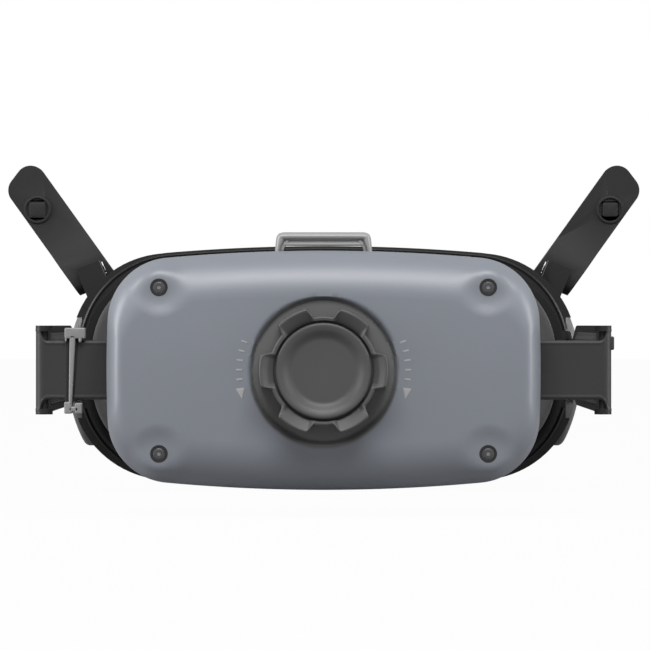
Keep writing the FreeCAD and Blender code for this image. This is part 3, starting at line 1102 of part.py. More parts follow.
def buckle():
    """Three-bar slide on the left strap, its middle bar set at a slant."""
    half, y = BUCKLE_HEIGHT / 2, BUCKLE_Y
    x = (-BUCKLE_X[1], -BUCKLE_X[0])
    body = box(x, y, (BAND_Z - half, BAND_Z + half))
    corners = [e for e in body.Edges if abs(e.tangentAt(e.FirstParameter).y) > 0.9]
    body = body.makeFillet(1.0, corners)
    tall = STRAP_HEIGHT / 2 + 0.6
    passage = box((x[0] - 1, x[1] + 1), (STRAP_Y[0] - 0.15, STRAP_Y[1] + 0.15),
                  (BAND_Z - tall, BAND_Z + tall))
    front = y[0] - 1
    depth = V(0, STRAP_Y[0] - front, 0)
    left = prism([V(x[0] + 0.8, front, BAND_Z + tall), V(x[0] + 1.6, front, BAND_Z + tall),
                  V(x[0] + 1.4, front, BAND_Z - tall), V(x[0] + 0.8, front, BAND_Z - tall)], depth)
    right = prism([V(x[0] + 3.6, front, BAND_Z + tall), V(x[1] - 0.7, front, BAND_Z + tall),
                   V(x[1] - 0.7, front, BAND_Z - tall), V(x[0] + 2.6, front, BAND_Z - tall)], depth)
    return body.cut([passage, left, right])


# ---------------------------------------------------------------- side arms
def ease(start, end):
    """Two arcs that carry an edge from one height to another without a corner."""
    along, rise = (end[0] - start[0]) / 2, (end[1] - start[1]) / 2
    radius = (along * along + rise * rise) / (2 * abs(rise))
    sag = radius - math.sqrt(radius * radius - along * along / 4)
    sign = 1 if rise > 0 else -1
    middle = (start[0] + along, start[1] + rise)
    first = (start[0] + along / 2, start[1] + sign * sag)
    second = (end[0] - along / 2, end[1] - sign * sag)

    def at(p):
        return at_band(0, p[0], p[1])

    return [arc(at(start), at(first), at(middle)), arc(at(middle), at(second), at(end))]


def arm():
    """Right side arm: tall rear end with pin lugs, slim neck and an eye at the temple."""
    rear = CORNER_Y + CORNER_RADIUS + GAP
    tall, slim = ARM_HEIGHT / 2, NECK_HEIGHT / 2
    upper = ease((NECK_Y[0], tall), (NECK_Y[1], slim))
    lower = ease((NECK_Y[0], -tall), (NECK_Y[1], -slim))
    edges = [line(at_band(0, rear, -tall), at_band(0, rear, tall)),
             line(at_band(0, rear, tall), at_band(0, NECK_Y[0], tall))] + upper
    edges += [line(at_band(0, NECK_Y[1], slim), at_band(0, PIVOT_Y, slim)),
              line(at_band(0, PIVOT_Y, slim), at_band(0, PIVOT_Y, -slim)),
              line(at_band(0, PIVOT_Y, -slim), at_band(0, NECK_Y[1], -slim))]
    edges += [lower[1], lower[0], line(at_band(0, NECK_Y[0], -tall), at_band(0, rear, -tall))]
    side = Part.Face(Part.Wire(Part.__sortEdges__(edges))).extrude(V(OUTSIDE, 0, 0))
    eye = rod(EYE_RADIUS, at_band(0, PIVOT_Y), at_band(OUTSIDE, PIVOT_Y))
    outer = CORNER_X + CORNER_RADIUS
    front = PIVOT_Y + EYE_RADIUS + 1
    plan = prism([V(outer - ARM_THICK, rear, 0), V(outer, rear, 0),
                  V(EYE_PLATE[1], front, 0), V(EYE_PLATE[0], front, 0)], V(0, 0, OUTSIDE))
    plate = fused([side, eye]).common(plan)
    lugs = []
    for s in (-1, 1):
        z = sorted((BAND_Z + s * tall, BAND_Z + s * (tall - ARM_LUG)))
        lugs.append(upright(CORNER_RADIUS, CORNER_X, CORNER_Y, z))
        lugs.append(box((CORNER_X, outer), (CORNER_Y, rear + 1), z))
    pin = upright(CORNER_PIN, CORNER_X, CORNER_Y, (BAND_Z - tall, BAND_Z + tall))
    hole = rod(PIVOT_RADIUS + PIVOT_SLACK, at_band(0, PIVOT_Y), at_band(OUTSIDE, PIVOT_Y))
    return fused([plate, pin] + lugs).cut([hole, liner_seat()])


def liner_seat():
    """Shallow recess on the inner face of the right arm."""
    inner = CORNER_X + CORNER_RADIUS - ARM_THICK
    return box((inner - 3, inner + LINER_SINK), LINER_Y,
               (BAND_Z - LINER_HEIGHT / 2, BAND_Z + LINER_HEIGHT / 2))


def arm_liner():
    """Ribbed soft liner in the recess of the right arm."""
    inner = CORNER_X + CORNER_RADIUS - ARM_THICK + LINER_SINK
    half = LINER_HEIGHT / 2
    base = box((inner - LINER_THICK, inner), LINER_Y, (BAND_Z - half, BAND_Z + half))
    ribs = []
    for k in range(LINER_RIBS):
        z = BAND_Z - half + (k + 0.5) * LINER_HEIGHT / LINER_RIBS
        ribs.append(box((inner - LINER_THICK - RIB_RISE, inner - LINER_THICK), LINER_Y,
                        (z - RIB_HALF, z + RIB_HALF)))
    return fused([base] + ribs)


# ---------------------------------------------------------------- build everything
def build():
    keep("chassis", chassis())
    keep("front_shell", fused([front_shell()] + board_posts()))
    keep("front_panel", front_panel())
    keep("vent_grille", vent_grille())
    keep("foot_pads", foot_pads())
    keep("face_gasket", face_gasket())
    keep("face_foam", face_foam())
    keep("bulkhead", bulkhead())
    keep("guide_rods", guide_rods())
    keep("proximity_window", proximity_window())
    keep("main_board", main_board())
    keep("heat_sink", heat_sink())
    keep("fan_frame", fan_frame())
    keep("fan_impeller", fan_impeller())
    keep("key_board", key_board())
    keep("back_button", key_button(KEY_X[0]))
    keep("link_button", key_button(KEY_X[1]))
    keep("usb_port", usb_port())
    keep_pair("carriage", carriage())
    keep_pair("lens_barrel", lens_barrel())
    keep_pair("eye_lens", eye_lens())
    keep_pair("display", display())
    keep_pair("focus_knob", focus_knob())
    keep_pair("temple_boss", temple_boss())
    keep_pair("antenna_bracket", antenna_bracket())
    keep("antenna_pins", antenna_pins())
    keep_pair("antenna", antenna())
    keep("rear_shell", rear_shell())
    keep("inner_cover", inner_cover())
    keep("head_pad", head_pad())
    keep("housing_screws", housing_screws())
    keep("top_loop", top_loop())
    keep("battery_cells", battery_cells())
    keep("battery_board", battery_board())
    keep("power_button", power_button())
    keep("detent_spring", detent_spring())
    keep("knob_grip", knob_grip())
    keep("knob_cap", knob_cap())
    keep("knob_shaft", knob_shaft())
    keep("rack_left", rack(RACK_Y[0]))
    keep("rack_right", turned_half_round(rack(RACK_Y[1])))
    keep_pair("strap", strap())
    keep("buckle_left", buckle())
    keep_pair("arm", arm())
    keep_pair("arm_liner", arm_liner())


build()
os.makedirs("parts", exist_ok=True)
for name, shape in PARTS.items():
    shape.exportStep("parts/" + name + ".step")
    solids = shape.Solids
    print("%-22s solids %d volume %9.1f valid %s" % (name, len(solids), shape.Volume, shape.isValid()))
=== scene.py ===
import json
import math

import bmesh
import bpy
import numpy as np
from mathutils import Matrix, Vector

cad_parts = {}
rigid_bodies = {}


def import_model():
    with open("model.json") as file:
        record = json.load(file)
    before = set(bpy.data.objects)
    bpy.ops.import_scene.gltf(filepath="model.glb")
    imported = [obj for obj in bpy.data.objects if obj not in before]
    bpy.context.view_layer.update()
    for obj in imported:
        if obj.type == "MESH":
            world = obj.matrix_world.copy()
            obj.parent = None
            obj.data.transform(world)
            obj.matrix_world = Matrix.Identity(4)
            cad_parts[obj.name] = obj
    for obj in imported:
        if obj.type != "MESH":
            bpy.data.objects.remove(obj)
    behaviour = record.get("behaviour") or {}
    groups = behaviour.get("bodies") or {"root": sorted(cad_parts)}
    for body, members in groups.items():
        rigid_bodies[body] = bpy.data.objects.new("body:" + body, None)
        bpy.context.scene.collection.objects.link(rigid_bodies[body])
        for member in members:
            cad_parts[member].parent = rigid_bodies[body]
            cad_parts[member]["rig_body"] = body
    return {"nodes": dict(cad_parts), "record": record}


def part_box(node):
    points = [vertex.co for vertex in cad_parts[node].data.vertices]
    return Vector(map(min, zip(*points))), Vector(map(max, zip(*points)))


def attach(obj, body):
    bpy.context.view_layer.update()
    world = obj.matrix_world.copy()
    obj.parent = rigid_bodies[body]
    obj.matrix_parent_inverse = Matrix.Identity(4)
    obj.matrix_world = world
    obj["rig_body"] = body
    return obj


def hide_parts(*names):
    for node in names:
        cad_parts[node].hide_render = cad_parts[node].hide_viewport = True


# ---------------------------------------------------------------- the goggles as packed
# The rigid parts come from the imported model.  Places below are in millimetres, and most are
# worked out from the boxes of its nodes.
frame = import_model()
bpy.context.view_layer.update()
MM = 0.001


def box_mm(node):
    """Lowest and highest corner of a node's box, in millimetres."""
    low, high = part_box(node)
    return np.array(low) / MM, np.array(high) / MM


# ---------------------------------------------------------------- camera
# A long lens far behind the wearer's head, level with the top third of the battery case.
camera_data = bpy.data.cameras.new("view_from_behind")
camera_data.lens = 270.0
camera_data.sensor_width = 36.0
camera_data.clip_end = 20.0
camera = bpy.data.objects.new("view_from_behind", camera_data)
camera.location = (0.0004, -1.610, 0.0529)
camera.rotation_euler = (math.radians(90.0), 0.0, 0.0)
bpy.context.scene.collection.objects.link(camera)
bpy.context.scene.camera = camera
bpy.context.scene.view_settings.view_transform = "Standard"


# ---------------------------------------------------------------- chassis
# The black rear moulding that the gasket, the temple caps and the antennas are fixed to.  It
# is injection moulded in a spark-eroded tool, so it is satin with a fine even grain.
class Shade:
    """One output socket of a material's graph, with arithmetic."""

    def __init__(self, tree, socket=None):
        self.tree = tree
        self.socket = socket

    def node(self, kind, inputs=None, output=0, **settings):
        """Adds a node of a kind; settings are set first, then its sockets."""
        made = self.tree.nodes.new(kind)
        for name, value in settings.items():
            setattr(made, name, value)
        for name, value in (inputs or {}).items():
            if isinstance(value, Shade):
                self.tree.links.new(value.socket, made.inputs[name])
            else:
                made.inputs[name].default_value = value
        return Shade(self.tree, made.outputs[output])

    def math(self, operation, *values):
        return self.node("ShaderNodeMath", dict(enumerate((self,) + values)), operation=operation)

    def __add__(self, other):
        return self.math("ADD", other)

    def __sub__(self, other):
        return self.math("SUBTRACT", other)

    def __mul__(self, other):
        return self.math("MULTIPLY", other)

    def __rsub__(self, other):
        return (self * -1.0) + other

    __radd__ = __add__
    __rmul__ = __mul__

    def ramp(self, low, high):
        """0 below low, 1 above high, straight between."""
        return self.node("ShaderNodeMapRange", {"Value": self, "From Min": low, "From Max": high})

    def blend(self, first, second):
        """Colour first where this is 0 and second where it is 1."""
        return self.node("ShaderNodeMix", {"Factor": self, 6: first, 7: second}, 2, data_type="RGBA")

    def noise(self, scale, detail=2.0):
        """Noise over this place, in patches a few tenths of 1/scale metres wide."""
        return self.node("ShaderNodeTexNoise", {"Vector": self, "Scale": scale, "Detail": detail})

    def axis(self, index):
        """One coordinate of this place, in millimetres."""
        return self.node("ShaderNodeSeparateXYZ", {"Vector": self}, index) * (1 / MM)

    def bump(self, depth_mm):
        return self.node("ShaderNodeBump", {"Height": self, "Distance": depth_mm * MM})

    def to(self, shader, name):
        self.tree.links.new(self.socket, shader.inputs[name])


def grey(value):
    """A neutral grey of one brightness."""
    return (value, value, value, 1.0)


def scaled(colour, factor):
    return tuple(c * factor for c in colour[:3]) + (1.0,)


def start_material(name):
    """A material, its shader node and its Object coordinates."""
    material = bpy.data.materials.new(name)
    material.use_nodes = True
    shader = material.node_tree.nodes["Principled BSDF"]
    place = Shade(material.node_tree).node("ShaderNodeTexCoord", output=3)
    return material, shader, place


def set_sockets(shader, **values):
    """Sets sockets that are the same all over; underscores stand for spaces."""
    for name, value in values.items():
        shader.inputs[name.replace("_", " ")].default_value = value


def moulded(name, colour, rough, grain=1400.0, depth=0.02, mottle=0.06, **sockets):
    """Moulded plastic: a fine spark-eroded grain, faint cloudiness and uneven gloss."""
    material, shader, place = start_material(name)
    fine, broad = place.noise(grain), place.noise(45.0, 3.0)
    cloud = broad.ramp(0.3, 0.7)
    cloud.blend(scaled(colour, 1 - mottle), scaled(colour, 1 + mottle)).to(shader, "Base Color")
    ((broad - 0.5) * 0.10 + (fine - 0.5) * 0.12 + rough).to(shader, "Roughness")
    fine.bump(depth).to(shader, "Normal")
    set_sockets(shader, **sockets)
    return material


def dress(obj, material):
    """Gives every slot of a piece one material."""
    obj.data.materials.clear()
    obj.data.materials.append(material)


slot_of = {s["node"]: s["material_slot"] for s in frame["record"]["subparts"]}


def softened(node, material, width, angle=30.0, segments=2):
    """A copy of a rigid node with its facets merged and its edges rounded."""
    source = frame["nodes"][node]
    mesh = source.data.copy()
    mesh.name = node + "_moulding"
    piece = bpy.data.objects.new(node + "_moulding", mesh)
    bpy.context.scene.collection.objects.link(piece)
    edit = bmesh.new()
    edit.from_mesh(mesh)
    bmesh.ops.remove_doubles(edit, verts=edit.verts, dist=2e-6)
    bmesh.ops.dissolve_limit(edit, angle_limit=math.radians(0.6), verts=edit.verts, edges=edit.edges)
    for face in edit.faces:
        face.smooth = True
    edit.to_mesh(mesh)
    edit.free()
    mesh.set_sharp_from_angle(angle=math.radians(angle))
    dress(piece, material)
    bevel = piece.modifiers.new("rounded_edge", "BEVEL")
    bevel.width = width * MM
    bevel.segments = segments
    bevel.limit_method = "ANGLE"
    bevel.angle_limit = math.radians(angle)
    bevel.harden_normals = True
    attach(piece, source["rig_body"])
    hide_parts(node)
    return piece


body_black = moulded("body_black", grey(0.013), 0.40, Specular_IOR_Level=0.25)
softened("chassis", body_black, 0.3)

# ---------------------------------------------------------------- flange rim
# The thick rolled rim round the chassis that the gasket clips to.  It is moulded with the
# chassis, has a bead along its outer edge, and is open where the side arms pass and at the nose.
def cushion_loop(half, long_r, end_r, corner_r, counts=(24, 40, 60)):
    """Closed cushion outline of eight tangent arcs about the origin, counter-clockwise from
    the right end: each arc is centre plus radius times the cosine and sine of its angles."""
    long_c, end_c = half[1] - long_r, half[0] - end_r
    reach_l, reach_e = long_r - corner_r, end_r - corner_r
    apart = math.hypot(end_c, long_c)
    along = (reach_l ** 2 - reach_e ** 2 + apart ** 2) / (2 * apart)
    off = math.sqrt(reach_l ** 2 - along ** 2)
    cx = (along * end_c - off * long_c) / apart
    cz = long_c + (-along * long_c - off * end_c) / apart
    turn_e, turn_l = math.atan2(cz, cx - end_c), math.atan2(cz - long_c, cx)
    pi = math.pi
    arcs = [(end_c, 0, end_r, -turn_e, turn_e, counts[0]), (cx, cz, corner_r, turn_e, turn_l, counts[1]),
            (0, long_c, long_r, turn_l, pi - turn_l, counts[2]),
            (-cx, cz, corner_r, pi - turn_l, pi - turn_e, counts[1]),
            (-end_c, 0, end_r, pi - turn_e, pi + turn_e, counts[0]),
            (-cx, -cz, corner_r, pi + turn_e, pi + turn_l, counts[1]),
            (0, -long_c, long_r, pi + turn_l, 2 * pi - turn_l, counts[2]),
            (cx, -cz, corner_r, -turn_l, -turn_e, counts[1])]
    points = []
    for x, z, r, start, end, count in arcs:
        angle = np.linspace(start, end, count, endpoint=False)
        points.append(np.stack([x + r * np.cos(angle), z + r * np.sin(angle)], -1))
    return np.concatenate(points)


def resampled(path, step, closed=True):
    """The same path with evenly spaced points."""
    ring = np.vstack([path, path[:1]]) if closed else path
    along = np.concatenate([[0], np.cumsum(np.hypot(*np.diff(ring, axis=0).T))])
    count = max(int(along[-1] / step), 4)
    places = np.linspace(0, along[-1], count, endpoint=not closed)
    return np.stack([np.interp(places, along, ring[:, k]) for k in (0, 1)], -1)


def eased(path, reach, closed=True):
    """A path with its corners rounded: each point is the weighted mean of its neighbours."""
    weights = np.hanning(2 * reach + 3)[1:-1]
    weights /= weights.sum()
    before = path[-reach:] if closed else np.repeat(path[:1], reach, 0)
    after = path[:reach] if closed else np.repeat(path[-1:], reach, 0)
    around = np.concatenate([before, path, after])
    return np.stack([np.convolve(around[:, k], weights, "valid") for k in (0, 1)], -1)


def inward(path, closed=True):
    """Unit normals that point to the left of a path, which is inwards on a counter-clockwise one."""
    run = np.roll(path, -1, 0) - np.roll(path, 1, 0) if closed else np.gradient(path, axis=0)
    run /= np.maximum(np.linalg.norm(run, axis=1), 1e-9)[:, None]
    return np.stack([-run[:, 1], run[:, 0]], -1)


def grid_faces(rows, columns, closed_columns=True, closed_rows=False):
    """Quads of a grid of points stored row by row."""
    r = np.arange(rows if closed_rows else rows - 1)
    c = np.arange(columns if closed_columns else columns - 1)
    r, c = np.meshgrid(r, c, indexing="ij")
    r2, c2 = (r + 1) % rows, (c + 1) % columns
    quads = np.stack([r * columns + c, r * columns + c2, r2 * columns + c2, r2 * columns + c], -1)
    return quads.reshape(-1, 4)


def poled(grid):
    """A grid of closed rows with its first and last row drawn together to a point."""
    first, last = grid[:1].mean(1, keepdims=True), grid[-1:].mean(1, keepdims=True)
    ones = np.ones_like(grid[:1])
    return np.concatenate([ones * first, grid, ones * last])


def new_piece(name, grids, body, material, slot, crease=40.0, **closing):
    """A piece from closed grids of points in mm, each turned to face outwards, riding on a body."""
    mesh = bpy.data.meshes.new(name)
    points, faces, start = [], [], 0
    for grid in grids:
        flat = grid.reshape(-1, 3)
        quads = grid_faces(grid.shape[0], grid.shape[1], **closing)
        corners = flat[quads]
        fan = sum(np.einsum("ij,ij->i", corners[:, 0], np.cross(corners[:, k], corners[:, k + 1]))
                  for k in (1, 2))
        quads = quads if fan.sum() > 0 else quads[:, ::-1]
        points.append(flat)
        faces.append(quads + start)
        start += len(flat)
    mesh.from_pydata((np.concatenate(points) * MM).tolist(), [], np.concatenate(faces).tolist())
    edit = bmesh.new()
    edit.from_mesh(mesh)
    bmesh.ops.remove_doubles(edit, verts=edit.verts, dist=1e-7)
    edit.to_mesh(mesh)
    edit.free()
    mesh.polygons.foreach_set("use_smooth", [True] * len(mesh.polygons))
    mesh.set_sharp_from_angle(angle=math.radians(crease))
    piece = bpy.data.objects.new(name, mesh)
    bpy.context.scene.collection.objects.link(piece)
    dress(piece, material)
    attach(piece, body)
    return piece


def swept(path, profile, closed=True, depth=None):
    """Profile carried along a path: each point is the path plus its inward normal times the
    profile's offset, at the profile's depth y plus depth(x)."""
    normal = inward(path, closed)
    place = path[:, None, :] + normal[:, None, :] * profile[None, :, :1]
    y = profile[None, :, 1] + (0 if depth is None else depth(place[..., 0]))
    grid = np.stack([place[..., 0], np.broadcast_to(y, place.shape[:2]), place[..., 1]], -1)
    return grid if closed else poled(grid)


low, high = box_mm("chassis")
BODY_MID_Z, FLANGE_HALF = (low[2] + high[2]) / 2, np.array([high[0], (high[2] - low[2]) / 2])
FLANGE_BACK = low[1]
FLANGE_RADII = (600.0, 65.0, 32.0)  # long edge, end, corner
ARM_OPENING, ARM_SIDE_X = (26.2, 51.6), 70
NOSE_HALF_WIDTH = 24.0
flange_path = resampled(cushion_loop(FLANGE_HALF + 0.1, *FLANGE_RADII), 1.0) + [0, BODY_MID_Z]
rim_profile = np.array([(0.0, 3.6), (0.0, 1.0), (0.35, 0.25), (1.0, -0.1), (1.7, 0.15), (2.2, 0.75),
                        (3.0, 0.9), (8.2, 0.6), (8.6, 3.6)]) + [0, FLANGE_BACK - 0.2]
open_here = ((np.abs(flange_path[:, 0]) > ARM_SIDE_X) & (flange_path[:, 1] > ARM_OPENING[0])
             & (flange_path[:, 1] < ARM_OPENING[1]))
open_here |= (np.abs(flange_path[:, 0]) < NOSE_HALF_WIDTH) & (flange_path[:, 1] < BODY_MID_Z)
starts = np.nonzero(open_here & ~np.roll(open_here, -1))[0]
rim_grids = []
for start in starts:
    run = np.roll(flange_path, -start - 1, 0)
    shut = np.roll(open_here, -start - 1)
    rim_grids.append(swept(run[:int(np.argmax(shut))], rim_profile, closed=False))
new_piece("flange_rim", rim_grids, "goggles", body_black, "body_black")

# ---------------------------------------------------------------- front body
# The deep tube in front of the chassis with its smooth curled cover.  The tube is grained black,
# the cover is finer and a little glossier.
softened("front_shell", body_black, 0.3)
panel_black = moulded("panel_black", grey(0.022), 0.26, 2200.0, 0.004, 0.03, Coat_Weight=0.25)
softened("front_panel", panel_black, 0.3)
softened("vent_grille", body_black, 0.15)
rubber_black = moulded("rubber_black", grey(0.014), 0.70, 900.0, 0.04, Specular_IOR_Level=0.25)
softened("foot_pads", rubber_black, 0.5)
SIDES = (("left", -1), ("right", 1))
for side, _ in SIDES:
    softened("antenna_bracket_" + side, body_black, 0.25)

# ---------------------------------------------------------------- gasket and face foam
# A soft rubber skirt clipped to the flange, and on it a ring of skinned foam a finger thick
# that follows brow, temples and cheeks and arches over the nose.
softened("face_gasket", rubber_black, 0.5)
FOAM_FACE_Y, FOAM_RADIUS, FOAM_DEPTH = -40.5, 175.0, 6.0
FOAM_HALF_WIDTH, FOAM_GAP, FOAM_STEP = 3.75, 5.7, 0.8
NOSE_HALF, NOSE_TOP_Z, NOSE_SPRING_Z = 12.5, 24.5, 12.0


def foam_path():
    """Middle line of the foam: the cushion outline, lifted over a nose arch whose legs lean out."""
    inset = FOAM_HALF_WIDTH
    radii = [radius - FOAM_GAP - inset for radius in FLANGE_RADII]
    outline = cushion_loop(FLANGE_HALF - FOAM_GAP - inset, *radii)
    outline = resampled(outline, FOAM_STEP) + [0, BODY_MID_Z]
    half, top, spring = NOSE_HALF + inset, NOSE_TOP_Z + inset, NOSE_SPRING_Z
    under = (np.abs(outline[:, 0]) < half + 3.5) & (outline[:, 1] < BODY_MID_Z)
    start = int(np.argmax(under & ~np.roll(under, 1)))
    outline = np.roll(outline, -start, 0)
    under = np.roll(under, -start)
    a = np.linspace(0, np.pi, 60)
    arch = np.stack([-half * np.cos(a), spring + (top - spring) * np.sin(a)], -1)
    legs = [[[side * (half + 4.0), outline[0, 1]]] for side in (-1, 1)]
    return eased(resampled(np.vstack([legs[0], arch, legs[1], outline[~under]]), FOAM_STEP), 6)


def foam_depth(x):
    """Depth of the foam's base: a cylinder round the wearer's face."""
    return FOAM_FACE_Y - FOAM_RADIUS + np.sqrt((FOAM_RADIUS + FOAM_DEPTH) ** 2 - x ** 2)


a = np.linspace(0, 2 * np.pi, 33)[:-1]
curl = np.sign(np.cos(a)) * np.abs(np.cos(a)) ** 0.55 * FOAM_HALF_WIDTH
rise = np.sign(np.sin(a)) * np.abs(np.sin(a)) ** 0.75 * FOAM_DEPTH / 2
seam = 0.35 * np.exp(-((a - 0.35) / 0.12) ** 2) + 0.35 * np.exp(-((a - np.pi + 0.35) / 0.12) ** 2)
foam_profile = np.stack([curl * (1 - seam * 0.3), -FOAM_DEPTH / 2 - rise * (1 - seam * 0.2)], -1)


def fabric(name, colour, pitch, depth, rough=0.85, tint=0.25, sheen=0.25):
    """Knitted cloth: threads one pitch apart both ways, worked out as a product of two sines."""
    material, shader, place = start_material(name)
    turn_x, turn_y, turn_z = (place.axis(k) * (2 * math.pi / pitch) for k in range(3))
    knit = (turn_x + turn_y).math("SINE") * (turn_z + turn_y).math("SINE")
    fuzz = place.noise(2600.0, 3.0)
    shade = knit * 0.25 + fuzz * 0.5 + 0.25
    shade.blend(scaled(colour, 1 - tint), scaled(colour, 1 + tint)).to(shader, "Base Color")
    (knit * 0.5 + fuzz).bump(depth).to(shader, "Normal")
    set_sockets(shader, Roughness=rough, Sheen_Weight=sheen, Sheen_Roughness=0.5)
    return material


foam_cloth = fabric("foam_cloth", grey(0.030), 0.7, 0.05)
face_foam = new_piece("face_foam_ring", [swept(foam_path(), foam_profile, depth=foam_depth)], "goggles",
                      foam_cloth, "pad_fabric", closed_rows=True)
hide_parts("face_foam")

# ---------------------------------------------------------------- optics and electronics
# Black lens barrels with coated lenses run on ground steel rods; boards, a ribbed heat sink and
# a fan sit behind the front cover.  Each gets the finish of its own material.
steel = moulded("ground_steel", grey(0.55), 0.30, 900.0, 0.004, 0.03, Metallic=1.0)
black_steel = moulded("blackened_steel", grey(0.06), 0.35, 900.0, 0.004, 0.03, Metallic=1.0)
aluminium = moulded("milled_aluminium", grey(0.60), 0.38, 700.0, 0.006, 0.03, Metallic=1.0)
gloss_black = moulded("gloss_black", grey(0.012), 0.14, 300.0, 0.001, 0.02, Coat_Weight=0.4)
lens_coating = moulded("lens_coating", (0.020, 0.014, 0.035, 1.0), 0.06, 300.0, 0.0005, 0.02,
                       Coat_Weight=1.0)
cell_wrap = moulded("cell_wrap", (0.03, 0.12, 0.32, 1.0), 0.30, 500.0, 0.004, 0.04)
dark_satin = moulded("dark_satin", grey(0.024), 0.38, 1300.0, 0.015, Specular_IOR_Level=0.3)


def circuit(name):
    """Circuit board: green mask over straight copper tracks, from level bands of two waves."""
    material, shader, place = start_material(name)
    across = (place.axis(0) * 4.2).math("SINE").ramp(0.80, 0.86)
    level = (place.axis(2) * 3.1 + place.noise(60.0) * 9.0).math("SINE").ramp(0.80, 0.86)
    track = across.math("MAXIMUM", level)
    track.blend((0.006, 0.050, 0.022, 1.0), (0.020, 0.120, 0.055, 1.0)).to(shader, "Base Color")
    track.bump(0.03).to(shader, "Normal")
    set_sockets(shader, Roughness=0.32)
    return material


by_slot = {"shell_grey": body_black, "body_black": body_black, "dark_grey": dark_satin,
           "light_grey": dark_satin, "gloss_black": gloss_black, "rubber_black": rubber_black,
           "pad_fabric": foam_cloth, "strap_rubber": rubber_black, "steel": steel,
           "black_steel": black_steel, "aluminium": aluminium, "board_green": circuit("circuit_board"),
           "cell_wrap": cell_wrap, "lens_glass": lens_coating}
for node, obj in frame["nodes"].items():
    dress(obj, by_slot[slot_of[node]])

# ---------------------------------------------------------------- temple caps
# A light grey oval cap on each side covers the pivot of the arm.  It is a thin moulding, domed
# like a watch glass, whose edge turns in to the chassis except where the arm comes out.
low, high = box_mm("temple_boss_right")
CAP_OUTER_X, CAP_FRONT_Y = high[0], high[1]
CAP_HALF = np.array([11.6, 24.0])
CAP_CENTRE = np.array([CAP_FRONT_Y - CAP_HALF[0] - 0.2, 37.5])
CAP_BEND, CAP_ROLL, CAP_DEEP_X = 50.5, 1.3, 74.0


def temple_cap(side):
    """Oval dome: outward x falls with the square of the height over the middle, less a roll of
    quarter-circle section along the edge, then the wall drops to the chassis."""
    angle = np.linspace(0, 2 * np.pi, 129)[:-1]
    oval = np.stack([np.sign(np.cos(angle)) * np.abs(np.cos(angle)) ** 0.8 * CAP_HALF[0],
                     np.sin(angle) * CAP_HALF[1]], -1)
    face = 1 - CAP_ROLL / CAP_HALF.max()
    rows = [(oval * (share * face), 1.0) for share in (0.2, 0.4, 0.6, 0.8, 0.97)]
    rows += [(oval * (1 - CAP_ROLL * (1 - math.cos(t)) / CAP_HALF.max()), math.sin(t))
             for t in np.linspace(np.pi / 2, 0, 7)]
    grids = []
    for shape, level in rows:
        x = CAP_OUTER_X - shape[:, 1] ** 2 / (2 * CAP_BEND) - CAP_ROLL * (1 - level)
        grids.append(np.stack([x, shape[:, 0] + CAP_CENTRE[0], shape[:, 1] + CAP_CENTRE[1]], -1))
    rim = grids[-1].copy()
    z = rim[:, 2]
    beside_arm = (rim[:, 1] < CAP_CENTRE[0]) & (z > ARM_OPENING[0]) & (z < ARM_OPENING[1])
    rim[:, 0] = np.where(beside_arm, rim[:, 0] - 0.2, CAP_DEEP_X)
    grids.append(rim)
    return poled(np.array(grids)) * [side, 1, 1]


cap_grey = moulded("cap_grey", grey(0.135), 0.42, 1300.0, 0.015, 0.04)
for side, sign in SIDES:
    cap = new_piece("temple_cap_" + side, [temple_cap(sign)], "goggles", cap_grey, "light_grey")
    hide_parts("temple_boss_" + side)

# ---------------------------------------------------------------- antennas
# Two flat paddles fold up on steel pins.  Each is a smooth black moulding with a sloped step at
# its root and a small rounded-square plug in a raised ring.
antenna_black = moulded("antenna_black", grey(0.014), 0.55, 1500.0, 0.012, 0.05, Specular_IOR_Level=0.22)
HINGE_AT, BLADE_TILT, PORT_AT = (75.6, 68.4), math.radians(35.6), (2.3, 29.5)
BLADE_FACE_IN = 2.5  # from the foremost point of the root back to the blade's face
PLUG_CORNERS = ((-2.6, -2.4), (2.6, -2.4), (2.6, 2.4), (-2.6, 2.4))


def slab(outline, y_back, y_front, roll=0.35):
    """Plate on an outline: its wall runs from back to front and ends in a quarter-circle roll,
    inset along the outline's inward normal."""
    normal = inward(outline)
    out = np.sign(y_back - y_front)
    rows = [(roll, y_back), (0.0, y_back - roll * out)]
    rows += [(roll * (1 - math.cos(t)), y_front + roll * (1 - math.sin(t)) * out)
             for t in np.linspace(0, np.pi / 2, 5)]
    grid = [np.stack([(outline + normal * inset)[:, 0], np.full(len(outline), y),
                      (outline + normal * inset)[:, 1]], -1) for inset, y in rows]
    return poled(np.array(grid))


def soft_outline(corners, reach=2, step=0.25):
    """Outline through corners, listed counter-clockwise, with each corner eased."""
    return eased(resampled(np.array(corners, float), step), reach)


def turned(profile, centre, count=72, hexagon=0.0):
    """Solid of revolution about a line along y: radius and depth from the profile, the rows
    inside the hexagon's radius drawn out to its six corners."""
    a = np.linspace(0, 2 * np.pi, count, endpoint=False)
    six = math.cos(np.pi / 6) / np.cos((a % (np.pi / 3)) - np.pi / 6)
    rows = [np.stack([centre[0] + r * np.cos(a) * (six if 0 < r <= hexagon else 1), np.full(count, y),
                      centre[1] + r * np.sin(a) * (six if 0 < r <= hexagon else 1)], -1)
            for r, y in profile]
    return poled(np.array(rows))


